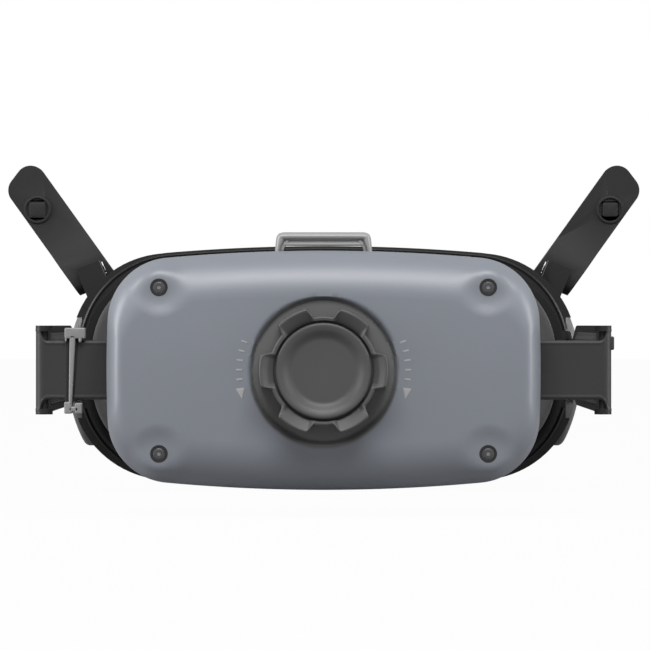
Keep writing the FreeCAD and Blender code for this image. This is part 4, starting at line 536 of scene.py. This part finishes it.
port_x = HINGE_AT[0] + math.sin(BLADE_TILT) * PORT_AT[1] + math.cos(BLADE_TILT) * PORT_AT[0]
port_z = HINGE_AT[1] + math.cos(BLADE_TILT) * PORT_AT[1] - math.sin(BLADE_TILT) * PORT_AT[0]
RING = ((3.6, 0.5), (3.6, -0.3), (3.8, -0.58), (4.2, -0.66), (4.55, -0.5), (4.72, -0.1), (4.72, 0.5))
for side, sign in SIDES:
    softened("antenna_" + side, antenna_black, 0.3)
    face_y = box_mm("antenna_" + side)[0][1] + BLADE_FACE_IN
    ring = [(radius, face_y + behind) for radius, behind in RING[::-1]]
    square = soft_outline([(port_x * sign + u, port_z + v) for u, v in PLUG_CORNERS], 5)
    port = [turned(ring, (port_x * sign, port_z)), slab(square, face_y + 0.3, face_y - 0.62)]
    new_piece("antenna_port_" + side, port, "aerial_" + side, antenna_black, "dark_grey")

# ---------------------------------------------------------------- side arms
# Stiff satin arms from the corner pins to the temple pivots, lined on the inside with a soft
# ribbed pad that rests on the wearer's temples.
arm_black = moulded("arm_black", grey(0.014), 0.42, 1300.0, 0.015, Specular_IOR_Level=0.25)
LINER_RIBS, LINER_ROWS = 5, 61


def liner_grid(node, side):
    """Soft plate: height v runs across, depth y along; its inner face swells by a round edge
    plus one smooth rib per fifth of its height."""
    low, high = box_mm(node)
    x_arm, x_head = (high[0], low[0]) if side > 0 else (low[0], high[0])
    v = np.linspace(-1, 1, 61)
    along = np.linspace(0, 1, LINER_ROWS)
    edge = (1 - np.abs(v) ** 8)[None, :] ** 0.5 * (1 - np.abs(2 * along - 1) ** 40)[:, None] ** 0.5
    ribs = 0.72 + 0.28 * np.cos((v * LINER_RIBS) * np.pi) ** 2
    inner_x = x_arm + (x_head - x_arm) * edge * ribs[None, :]
    y = low[1] + (high[1] - low[1]) * along
    z = (low[2] + high[2]) / 2 + v * (high[2] - low[2]) / 2
    y, z = np.meshgrid(y, z, indexing="ij")
    face = np.stack([inner_x, y, z], -1)
    back = np.stack([np.full_like(y, x_arm), y, z], -1)[:, ::-1]
    return poled(np.concatenate([face, back], 1))


liner_rubber = fabric("liner_rubber", grey(0.013), 0.9, 0.04, 0.8, 0.15, 0.0)
for side, sign in SIDES:
    softened("arm_" + side, arm_black, 0.3)
    liner = new_piece("temple_pad_" + side, [liner_grid("arm_liner_" + side, sign)], "side_arm_" + side,
                      liner_rubber, "rubber_black")
    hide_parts("arm_liner_" + side)

# ---------------------------------------------------------------- straps
# Two bands of coated webbing, thicker along both edges, come out of the case, and each widens
# into a fold round its corner pin.
low, high = box_mm("strap_right")
STRAP_MID_Z, STRAP_BACK_Y = (low[2] + high[2]) / 2, low[1]
STRAP_START_X, STRAP_THICK = low[0], 1.9
FOLD_X, FOLD_RADIUS, FOLD_END_Y = 78.3, 2.5, STRAP_BACK_Y + 5.0
STRAP_HALF, FOLD_HALF, FLARE_X = 8.3, 12.4, (77.2, 79.5)


def strap_grid(sign):
    """Band on a path that runs straight and then round a quarter circle.  Its half height
    grows along an ellipse at the fold; both faces are offset from the path by its normal."""
    a = np.linspace(0, np.pi / 2, 14)
    x = np.concatenate([np.linspace(STRAP_START_X, FLARE_X[0], 60),
                        np.linspace(FLARE_X[0], FOLD_X, 10)[1:-1],
                        FOLD_X + FOLD_RADIUS * np.sin(a), [FOLD_X + FOLD_RADIUS]])
    y = np.concatenate([np.full(68, STRAP_BACK_Y - 0.1),
                        STRAP_BACK_Y - 0.1 + FOLD_RADIUS * (1 - np.cos(a)), [FOLD_END_Y]])
    run = np.stack([np.gradient(x), np.gradient(y)], -1)
    run /= np.linalg.norm(run, axis=1)[:, None]
    share = np.clip((x - FLARE_X[0]) / (FLARE_X[1] - FLARE_X[0]), 0, 1)
    half = FOLD_HALF - (FOLD_HALF - STRAP_HALF) * np.sqrt(1 - share ** 2)
    v = np.sin(np.linspace(-np.pi / 2, np.pi / 2, 41))
    hem = 0.16 * np.clip((np.abs(v) - 0.86) / 0.03, 0, 1) - 0.16
    edge = 1 - np.sqrt(1 - np.abs(v) ** 24)
    outer, inner = edge * 0.9 - hem, (STRAP_THICK + hem - edge * 0.9)[::-1]
    sides = []
    for offset, level in ((outer, v), (inner, v[::-1])):
        px = x[:, None] - run[:, 1:] * offset[None, :]
        py = y[:, None] + run[:, :1] * offset[None, :]
        sides.append(np.stack([px * sign, py, STRAP_MID_Z + half[:, None] * level[None, :]], -1))
    return poled(np.concatenate(sides, 1))


webbing = moulded("webbing", grey(0.026), 0.5, 1700.0, 0.02, 0.08, Specular_IOR_Level=0.3)
for side, sign in SIDES:
    strap = new_piece("head_strap_" + side, [strap_grid(sign)], "band_" + side, webbing, "strap_rubber")
    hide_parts("strap_" + side)
TAB_CORNERS, TAB_Y = ((79.5, 45.9), (81.4, 45.9), (81.4, 49.7), (79.5, 49.7)), (4.0, 1.0)
tab = slab(soft_outline(TAB_CORNERS), STRAP_BACK_Y + TAB_Y[0], STRAP_BACK_Y + TAB_Y[1])
new_piece("strap_tab", [tab], "band_right", webbing, "strap_rubber")

# ---------------------------------------------------------------- buckle
# A pale slide on the left strap: a block above and below, each with two prongs, and a slanting
# bar between them that the webbing is threaded round.
low, high = box_mm("buckle_left")
BUCKLE_BACK, BUCKLE_FRONT = high[1], low[1]
left_x, right_x = low[0], high[0]


def upright(low_z, high_z, foot, head=None):
    """Corners of a bar: foot and head are the two x of its ends, counted from the buckle's left
    edge, and the heights are counted from the middle of the strap."""
    head = head or foot
    corners = (foot[0], low_z), (foot[1], low_z), (head[1], high_z), (head[0], high_z)
    return [(left_x + x, STRAP_MID_Z + z) for x, z in corners]


top_block = upright(8.8, 11.8, (0.1, right_x + 1.0 - left_x))
top_prongs = [upright(7.9, 9.4, (0.2, 0.75)), upright(7.7, 9.4, (4.0, 4.9))]
slanting_bar = upright(-9.8, 9.8, (1.25, 2.15), (1.5, 3.2))
foot_blocks = [upright(-12.2, -8.9, (0.0, 2.2)), upright(-12.2, -9.2, (2.9, 5.0)),
               upright(-11.6, -10.2, (1.2, 4.0))]
buckle_grey = moulded("buckle_grey", grey(0.20), 0.40, 1200.0, 0.012, 0.05)
buckle_bars = [top_block, *foot_blocks, slanting_bar, *top_prongs]
buckle = new_piece("strap_buckle",
                   [slab(soft_outline(bar), BUCKLE_BACK, BUCKLE_FRONT - 0.2) for bar in buckle_bars],
                   "band_left", buckle_grey, "light_grey")
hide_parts("buckle_left")
# Painted shade: near-black plates sit in the buckle's two slots, standing in for the shade where the
# webbing dives through them.
slots = [upright(-9.2, 9.0, (0.15, 1.4), (0.15, 1.6)), upright(-9.2, 9.0, (2.0, 2.7), (3.0, 3.9))]
recess_shade_black = moulded("recess_shade_black", grey(0.006), 0.8, 900.0, 0.02)
new_piece("buckle_slot_shade",
          [slab(soft_outline(slot), STRAP_BACK_Y + 0.8, STRAP_BACK_Y - 0.25) for slot in slots],
          "band_left", recess_shade_black, "strap_rubber")

# ---------------------------------------------------------------- battery case, outer half
# The grey case behind the head: one thin moulding, domed a little, curled over at the long
# edges, with a dished collar round the knob and a shallow dimple at each of the four screws.
low, high = box_mm("rear_shell")
CASE_MID_Z = (low[2] + high[2]) / 2
CASE_HALF = np.array([high[0], (high[2] - low[2]) / 2])
CASE_RIM, CASE_FACE = high[1], low[1]
CASE_LONG, CASE_END, CASE_CORNER, CASE_WALL = 480.0, 300.0, 18.0, 1.8
CASE_CURL = np.array([4.8, 12.8])
CASE_DOME = 0.8
COLLAR_RADIUS, COLLAR_DEPTH = 20.3, 1.5
screw_low, screw_high = box_mm("housing_screws")
SCREW_RADIUS = 2.3
SCREW_X = screw_high[0] - SCREW_RADIUS
SCREW_Z = (screw_high[2] - screw_low[2]) / 2 - SCREW_RADIUS
SCREW_AT = [(sx * SCREW_X, sz * SCREW_Z) for sx in (-1, 1) for sz in (-1, 1)]
DIMPLE, SHAFT_HOLE_RADIUS = 0.9, 3.2


def smooth_step(x, low, high):
    """0 below low, 1 above high, and 3 t^2 - 2 t^3 between."""
    t = np.clip((x - low) / (high - low), 0, 1)
    return t * t * (3 - 2 * t)


def case_height(x, z, base):
    """Depth of the outer face: the curled block, less a low dome, plus the collar's dish and a
    dimple at each screw that fades out by a smooth step of the distance."""
    dome = CASE_DOME * np.clip(1 - (x / CASE_HALF[0]) ** 2 - (z / CASE_HALF[1]) ** 2, 0, 1)
    y = base - dome * smooth_step(CASE_FACE + 6 - base, 0, 6)
    out = np.hypot(x, z)
    y = y + COLLAR_DEPTH * (1 - smooth_step(out, COLLAR_RADIUS - 0.8, COLLAR_RADIUS + 0.4))
    for sx, sz in SCREW_AT:
        away = np.hypot(x - sx, z - sz)
        fade = 1 - smooth_step(away, 2.8, 8.5)
        y = y + (CASE_FACE + DIMPLE - y) * fade
    return y


def case_rows(inset, curl_steps=16, face_steps=110):
    """Rows of the outer or inner surface from the rim to the shaft hole."""
    grown = CASE_HALF - inset
    loops = dict(long_r=CASE_LONG - inset, end_r=CASE_END - inset)
    rim = cushion_loop(grown, corner_r=CASE_CORNER - inset, **loops)
    roll, face = CASE_RIM - 1.5, CASE_FACE + inset
    rows = [(rim * (1.0 if inset else 0.9985), np.full(len(rim), CASE_RIM))]
    rows += [(rim, np.full(len(rim), y)) for y in (CASE_RIM - 0.15, roll)]
    for a in np.linspace(0, np.pi / 2, curl_steps + 1)[1:]:
        drop = 1 - math.cos(a)
        loop = cushion_loop(grown - CASE_CURL * drop,
                            corner_r=CASE_CORNER - inset - CASE_CURL[0] * drop, **loops)
        rows.append((loop, np.full(len(rim), roll + (face - roll) * math.sin(a))))
    last = rows[-1][0]
    angle = np.arctan2(last[:, 1], last[:, 0])
    hole = np.stack([np.cos(angle), np.sin(angle)], -1) * SHAFT_HOLE_RADIUS
    rows += [(last + (hole - last) * share, np.full(len(rim), face))
             for share in np.linspace(0, 1, face_steps + 1)[1:]]
    return rows


def stack_rows(rows, height=None):
    """Points of all rows, with the depth from height where one is given."""
    return np.array([np.stack([loop[:, 0], y if height is None else height(loop[:, 0], loop[:, 1], y),
                               loop[:, 1] + CASE_MID_Z], -1) for loop, y in rows])


def case_finish(name, colour, collar_shade_colour):
    """Satin paint with a faint orange peel; round the knob the dished collar is painted a darker neutral
    grey as painted shade, for the shade in the dish and the knob's dark reflection in it.
    """
    material, shader, place = start_material(name)
    fine, broad = place.noise(1500.0), place.noise(30.0, 3.0)
    x, z = place.axis(0), place.axis(2) - CASE_MID_Z
    out = (x * x + z * z).math("SQRT")
    face = broad.ramp(0.3, 0.7).blend(scaled(colour, 0.98), scaled(colour, 1.02))
    # Painted shade: within the collar's radius the colour turns to the darker grey; its edge reaches
    # further out below the knob, as a painted shadow of the knob.
    collar_shade_mask = 1.0 - (out + z.math("MINIMUM", 0.0) * 0.06).ramp(COLLAR_RADIUS - 0.5, COLLAR_RADIUS + 0.3)
    collar_shade_mask.blend(face, collar_shade_colour).to(shader, "Base Color")
    ((broad - 0.5) * 0.05 + (fine - 0.5) * 0.08 + 0.42).to(shader, "Roughness")
    fine.bump(0.012).to(shader, "Normal")
    return material


# The second colour is the painted shade of the collar round the knob.
case_grey = case_finish("case_grey", (0.160, 0.172, 0.196, 1.0), (0.100, 0.101, 0.102, 1.0))
outer = stack_rows(case_rows(0.0), case_height)
inner = stack_rows(case_rows(CASE_WALL, 6, 3))
rear_case = new_piece("rear_case", [np.concatenate([outer[::-1], inner])], "housing", case_grey,
                      "shell_grey", closed_rows=True)
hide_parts("rear_shell")
softened("inner_cover", case_grey, 0.3)

# ---------------------------------------------------------------- tightness marks
# Printed on the case beside the knob: five short ticks and an arrowhead on each side, in place
# of words that say which way tightens.
MARK_RADIUS, TICK_ANGLES = 23.3, (20.0, 13.5, 7.0, 0.5, -6.0)
TICK_CORNERS = ((-0.9, -0.26), (0.9, -0.26), (0.9, 0.26), (-0.9, 0.26))
ARROW_CORNERS = ((22.5, -7.9), (24.3, -5.0), (21.9, -4.7))


def mark(corners):
    """Thin print on the case: an outline whose depth follows the face of the case."""
    grid = slab(soft_outline(corners, 1, 0.2), 0.25, -0.07, 0.04)
    grid[..., 1] += case_height(grid[..., 0], grid[..., 2], np.full(grid.shape[:2], CASE_FACE))
    grid[..., 2] += CASE_MID_Z
    return grid


marks = []
for sign in (-1, 1):
    for degrees in TICK_ANGLES:
        a = math.radians(degrees)
        along, over = np.array([math.cos(a), math.sin(a)]), np.array([-math.sin(a), math.cos(a)])
        corners = [along * (MARK_RADIUS + u) + over * v for u, v in TICK_CORNERS]
        marks.append([(c[0] * sign, c[1]) for c in corners][::sign])
    marks.append([(x * sign, z) for x, z in ARROW_CORNERS][::sign])
mark_paint = moulded("mark_paint", grey(0.27), 0.5, 1500.0, 0.005, 0.04)
new_piece("tightness_marks", [mark(m) for m in marks], "housing", mark_paint, "light_grey")

# ---------------------------------------------------------------- case screws
# Blackened socket screws, sunk in a bored well at each corner of the case.
floor_y, HEXAGON_RADIUS = CASE_FACE + DIMPLE, 0.65
well = [(2.45, floor_y + 3.0), (2.45, floor_y - 0.02), (2.35, floor_y - 0.10), (1.6, floor_y - 0.06),
        (1.5, floor_y + 0.9)]
screw_head = [(1.6, floor_y + 2.0), (1.6, floor_y + 0.05), (1.45, floor_y - 0.12), (1.2, floor_y - 0.16),
              (0.62, floor_y - 0.17), (0.58, floor_y - 0.1), (0.55, floor_y + 0.9)]
centres = [(x, z + CASE_MID_Z) for x, z in SCREW_AT]
screw_black = moulded("screw_black", grey(0.050), 0.35, 900.0, 0.004, 0.05, Specular_IOR_Level=0.4)
# Painted shade: the walls of each well are near black, standing in for the shade down in the well round
# the screw head.
new_piece("screw_wells", [turned(well, c, 64) for c in centres], "housing", recess_shade_black, "shell_grey")
heads = new_piece("socket_screws", [turned(screw_head, c, 72, HEXAGON_RADIUS) for c in centres],
                  "housing", screw_black, "black_steel")
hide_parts("housing_screws")

# ---------------------------------------------------------------- head pad
# The cushion between the case and the back of the head: knitted cloth over foam, with two sewn
# channels, domed between the seams.
low, high = box_mm("head_pad")
PAD_HALF = np.array([high[0], (high[2] - low[2]) / 2]) - 0.2
PAD_CURVE, PAD_THICK, PAD_EDGE = 300.0, 4.0, 0.12
CHANNEL_X, CHANNEL_WIDTH, SEAM_Z, SEAM_WIDTH = 19.0, 1.6, 9.5, 1.2
PAD_BACK_Y = low[1] + 0.2


def pad_grid():
    """Cushion: shrinking copies of the outline, raised by a rounded edge, by a broad crown and
    less two channels of bell section; the base follows the curve of the case."""
    outline = resampled(cushion_loop(PAD_HALF, 295.0, 295.0, 11.0), 0.6)
    edge_shares = 1 - PAD_EDGE * (1 - np.cos(np.linspace(0, np.pi / 2, 12)))
    x, z = outline.T
    flat = np.zeros(len(outline))
    rows = [(x * 0.9, z * 0.9, flat), (x, z, flat)]
    for share in np.concatenate([edge_shares, np.linspace(0.86, 0.02, 60)]):
        x, z = (outline * share).T
        into = (share - (1 - PAD_EDGE)) / PAD_EDGE
        edge = np.sqrt(np.clip(1 - into ** 2, 0, 1)) if into > 0 else 1.0
        sewn = 0.62 * np.exp(-((np.abs(x) - CHANNEL_X) / CHANNEL_WIDTH) ** 2)
        across = 0.30 * np.exp(-((np.abs(z) - SEAM_Z) / SEAM_WIDTH) ** 2) * (np.abs(x) < CHANNEL_X)
        crown = 0.80 + 0.20 * (1 - (z / PAD_HALF[1]) ** 2)
        rows.append((x, z, PAD_THICK * edge * crown * (1 - np.maximum(sewn, across))))
    grid = [np.stack([x, PAD_BACK_Y + PAD_CURVE - np.sqrt(PAD_CURVE ** 2 - x ** 2) + thick,
                      z + CASE_MID_Z], -1) for x, z, thick in rows]
    return poled(np.array(grid))


pad_cloth = fabric("pad_cloth", grey(0.035), 0.9, 0.08)
head_pad = new_piece("head_cushion", [pad_grid()], "housing", pad_cloth, "pad_fabric")
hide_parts("head_pad")

# ---------------------------------------------------------------- strap loop
# A moulded loop stands on top of the case for a strap over the head: a round bar with a fine
# groove and a lip along its inside.
low, high = box_mm("top_loop")
LOOP_MID_Y, LOOP_TOP_Z, LOOP_FOOT_Z = (low[1] + high[1]) / 2, high[2], low[2]
LOOP_HALF = high[0]
loop_corners = np.array([(LOOP_HALF + 0.1, LOOP_FOOT_Z), (LOOP_HALF - 0.6, LOOP_TOP_Z),
                         (0.6 - LOOP_HALF, LOOP_TOP_Z), (-0.1 - LOOP_HALF, LOOP_FOOT_Z)])
loop_path = eased(resampled(loop_corners, 0.25, closed=False), 13, closed=False)
BAR_HALF = (1.2, 1.9)
bar = [(BAR_HALF[0] - BAR_HALF[0] * math.cos(t), BAR_HALF[1] * math.sin(t))
       for t in np.linspace(-0.86 * np.pi, 0.86 * np.pi, 26)]
lip = [(2.75, 0.8), (3.0, 1.35), (3.5, 1.45), (3.8, 1.0)]
loop_profile = np.array(bar + lip + [(across, -along) for across, along in lip[::-1]])
leg = smooth_step(LOOP_TOP_Z - loop_path[:, 1], 1.5, 5.0)
normal = inward(loop_path, closed=False)
offset = loop_profile[None, :, 0] * (1 - 0.36 * leg[:, None])
place = loop_path[:, None, :] + normal[:, None, :] * offset[..., None]
depth = np.broadcast_to(loop_profile[None, :, 1] + LOOP_MID_Y, place.shape[:2])
loop_grid = poled(np.stack([place[..., 0], depth, place[..., 1]], -1))
loop_grey = moulded("loop_grey", grey(0.23), 0.34, 1400.0, 0.01, 0.04)
loop = new_piece("head_strap_loop", [loop_grid], "housing", loop_grey, "shell_grey")
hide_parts("top_loop")

# ---------------------------------------------------------------- tightening knob
# A deep grip with six lobes, each hollowed for a fingertip, and a dished cap set in it with a
# shadow gap.  Both are moulded in grey with a soft satin face.
low, high = box_mm("knob_grip")
KNOB_FRONT, KNOB_BACK, LOBE_RADIUS = low[1], high[1], high[0]
NOTCH_RADIUS, LOBES, CAP_RADIUS, CAP_GAP = 15.0, 6, 13.2, 0.7
LOBE_ROLL, LOBE_FALL, NOTCH_DROP, SHAFT_RADIUS = 0.55, 2.0, 0.9, 9.0
CAP_SET_BACK, DISH_DEPTH, DISH_RADII = 1.2, 1.7, (8.6, 12.0)


def lobe_share(angle):
    """1 over a lobe, 0 in a notch, with short smooth flanks."""
    away = np.abs((angle * LOBES / (2 * np.pi) + 0.5) % 1 - 0.5) * 360 / LOBES
    return 1 - smooth_step(away, 13.5, 20.0)


def grip_grid():
    """Grip: radius is the notch's plus the lobe's reach times the lobe share.  The front of a
    lobe falls towards the cap as a hollow; its outer edge is a quarter-circle roll."""
    a = np.linspace(0, 2 * np.pi, 432, endpoint=False)
    lobe = lobe_share(a)
    seat = CAP_RADIUS + CAP_GAP
    out = NOTCH_RADIUS + (LOBE_RADIUS - NOTCH_RADIUS) * lobe
    front = KNOB_FRONT + 0.1 + (1 - lobe) * NOTCH_DROP
    rows = [(np.full(len(a), SHAFT_RADIUS), KNOB_BACK), (out + 0.2, KNOB_BACK)]
    for t in np.linspace(0, np.pi / 2, 6):
        rows.append((out - LOBE_ROLL * (1 - np.cos(t)), front + LOBE_ROLL * (1 - np.sin(t))))
    for share in np.linspace(1, 0, 9)[1:]:
        hollow = (LOBE_FALL * lobe + 0.1) * (1 - share)
        rows.append((seat + (out - LOBE_ROLL - seat) * share, front + hollow))
    rows.append((np.full(len(a), seat - 0.05), KNOB_FRONT + 3.4))
    rows.append((np.full(len(a), SHAFT_RADIUS), KNOB_FRONT + 3.5))
    grid = [np.stack([r * np.cos(a), np.broadcast_to(y, a.shape), r * np.sin(a) + CASE_MID_Z], -1)
            for r, y in rows]
    return poled(np.array(grid))


knob_grey = moulded("knob_grey", grey(0.062), 0.46, 1400.0, 0.012, 0.04, Specular_IOR_Level=0.3)
grip = new_piece("knob_lobes", [grip_grid()], "knob", knob_grey, "dark_grey", crease=50.0)
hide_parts("knob_grip")
cap_low, cap_high = box_mm("knob_cap")
top = cap_low[1] + CAP_SET_BACK
dish = [(r, top + 0.12 + DISH_DEPTH * float(1 - smooth_step(r, *DISH_RADII)))
        for r in np.linspace(11.9, 0.4, 28)]
cap_profile = [(CAP_RADIUS, cap_high[1]), (CAP_RADIUS, top + 0.5), (CAP_RADIUS - 0.12, top + 0.2),
               (CAP_RADIUS - 0.4, top + 0.02), (12.5, top), (12.1, top + 0.05)] + dish
knob_dish = new_piece("knob_dish", [turned(cap_profile, (0.0, CASE_MID_Z), 180)], "knob", knob_grey,
                      "dark_grey")
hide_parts("knob_cap")

# ---------------------------------------------------------------- floor and light
# A pale floor, and soft light from a big source above and strips at both sides.  The room is
# white to the camera, dim as a lamp, and at a third of its brightness in mirrored rays.
floor_mesh = bpy.data.meshes.new("floor")
floor_mesh.from_pydata([(-6, -6, -0.0005), (6, -6, -0.0005), (6, 6, -0.0005), (-6, 6, -0.0005)], [],
                       [(0, 1, 2, 3)])
floor = bpy.data.objects.new("floor", floor_mesh)
bpy.context.scene.collection.objects.link(floor)
FLOOR_GLOW = 0.97
material, shader, _ = start_material("floor_white")
tree = material.node_tree
set_sockets(shader, Base_Color=(0.30, 0.30, 0.30, 1.0), Roughness=0.9)
seen = Shade(tree).node("ShaderNodeLightPath", output=0)
glow = Shade(tree).node("ShaderNodeEmission", {"Color": (1, 1, 1, 1), "Strength": 1.0})
mixed = Shade(tree).node("ShaderNodeMixShader", {0: seen * FLOOR_GLOW})
tree.links.new(shader.outputs[0], mixed.socket.node.inputs[1])
tree.links.new(glow.socket, mixed.socket.node.inputs[2])
tree.links.new(mixed.socket, tree.nodes["Material Output"].inputs["Surface"])
dress(floor, material)

world = bpy.data.worlds.new("studio")
world.use_nodes = True
bpy.context.scene.world = world
paths = Shade(world.node_tree).node("ShaderNodeLightPath")
camera_ray = Shade(world.node_tree, paths.socket.node.outputs["Is Camera Ray"])
glossy_ray = Shade(world.node_tree, paths.socket.node.outputs["Is Glossy Ray"])
through_ray = Shade(world.node_tree, paths.socket.node.outputs["Is Transmission Ray"])
AMBIENT, GLOSSY_SHARE = 0.2, 0.35
direct = (camera_ray + glossy_ray * GLOSSY_SHARE + through_ray).math("MINIMUM", 1.0)
level = direct * (1.0 - AMBIENT) + AMBIENT
world.node_tree.links.new(level.socket, world.node_tree.nodes["Background"].inputs["Strength"])
world.node_tree.nodes["Background"].inputs["Color"].default_value = (1, 1, 1, 1)


def soft_light(name, place, target, size, power):
    """A rectangular soft box that faces a point."""
    data = bpy.data.lights.new(name, "AREA")
    data.shape = "RECTANGLE"
    data.size, data.size_y = size
    data.energy = power
    lamp = bpy.data.objects.new(name, data)
    lamp.location = place
    lamp.rotation_euler = (Vector(target) - Vector(place)).to_track_quat("-Z", "Y").to_euler()
    bpy.context.scene.collection.objects.link(lamp)


soft_light("overhead", (0.0, -1.0, 0.95), (0, -0.2, 0.04), (0.9, 0.5), 17.5)
soft_light("left_strip", (-1.0, -0.35, 0.25), (0, -0.2, 0.04), (0.3, 0.9), 12.5)
soft_light("right_strip", (1.0, -0.35, 0.25), (0, -0.2, 0.04), (0.3, 0.9), 9.0)
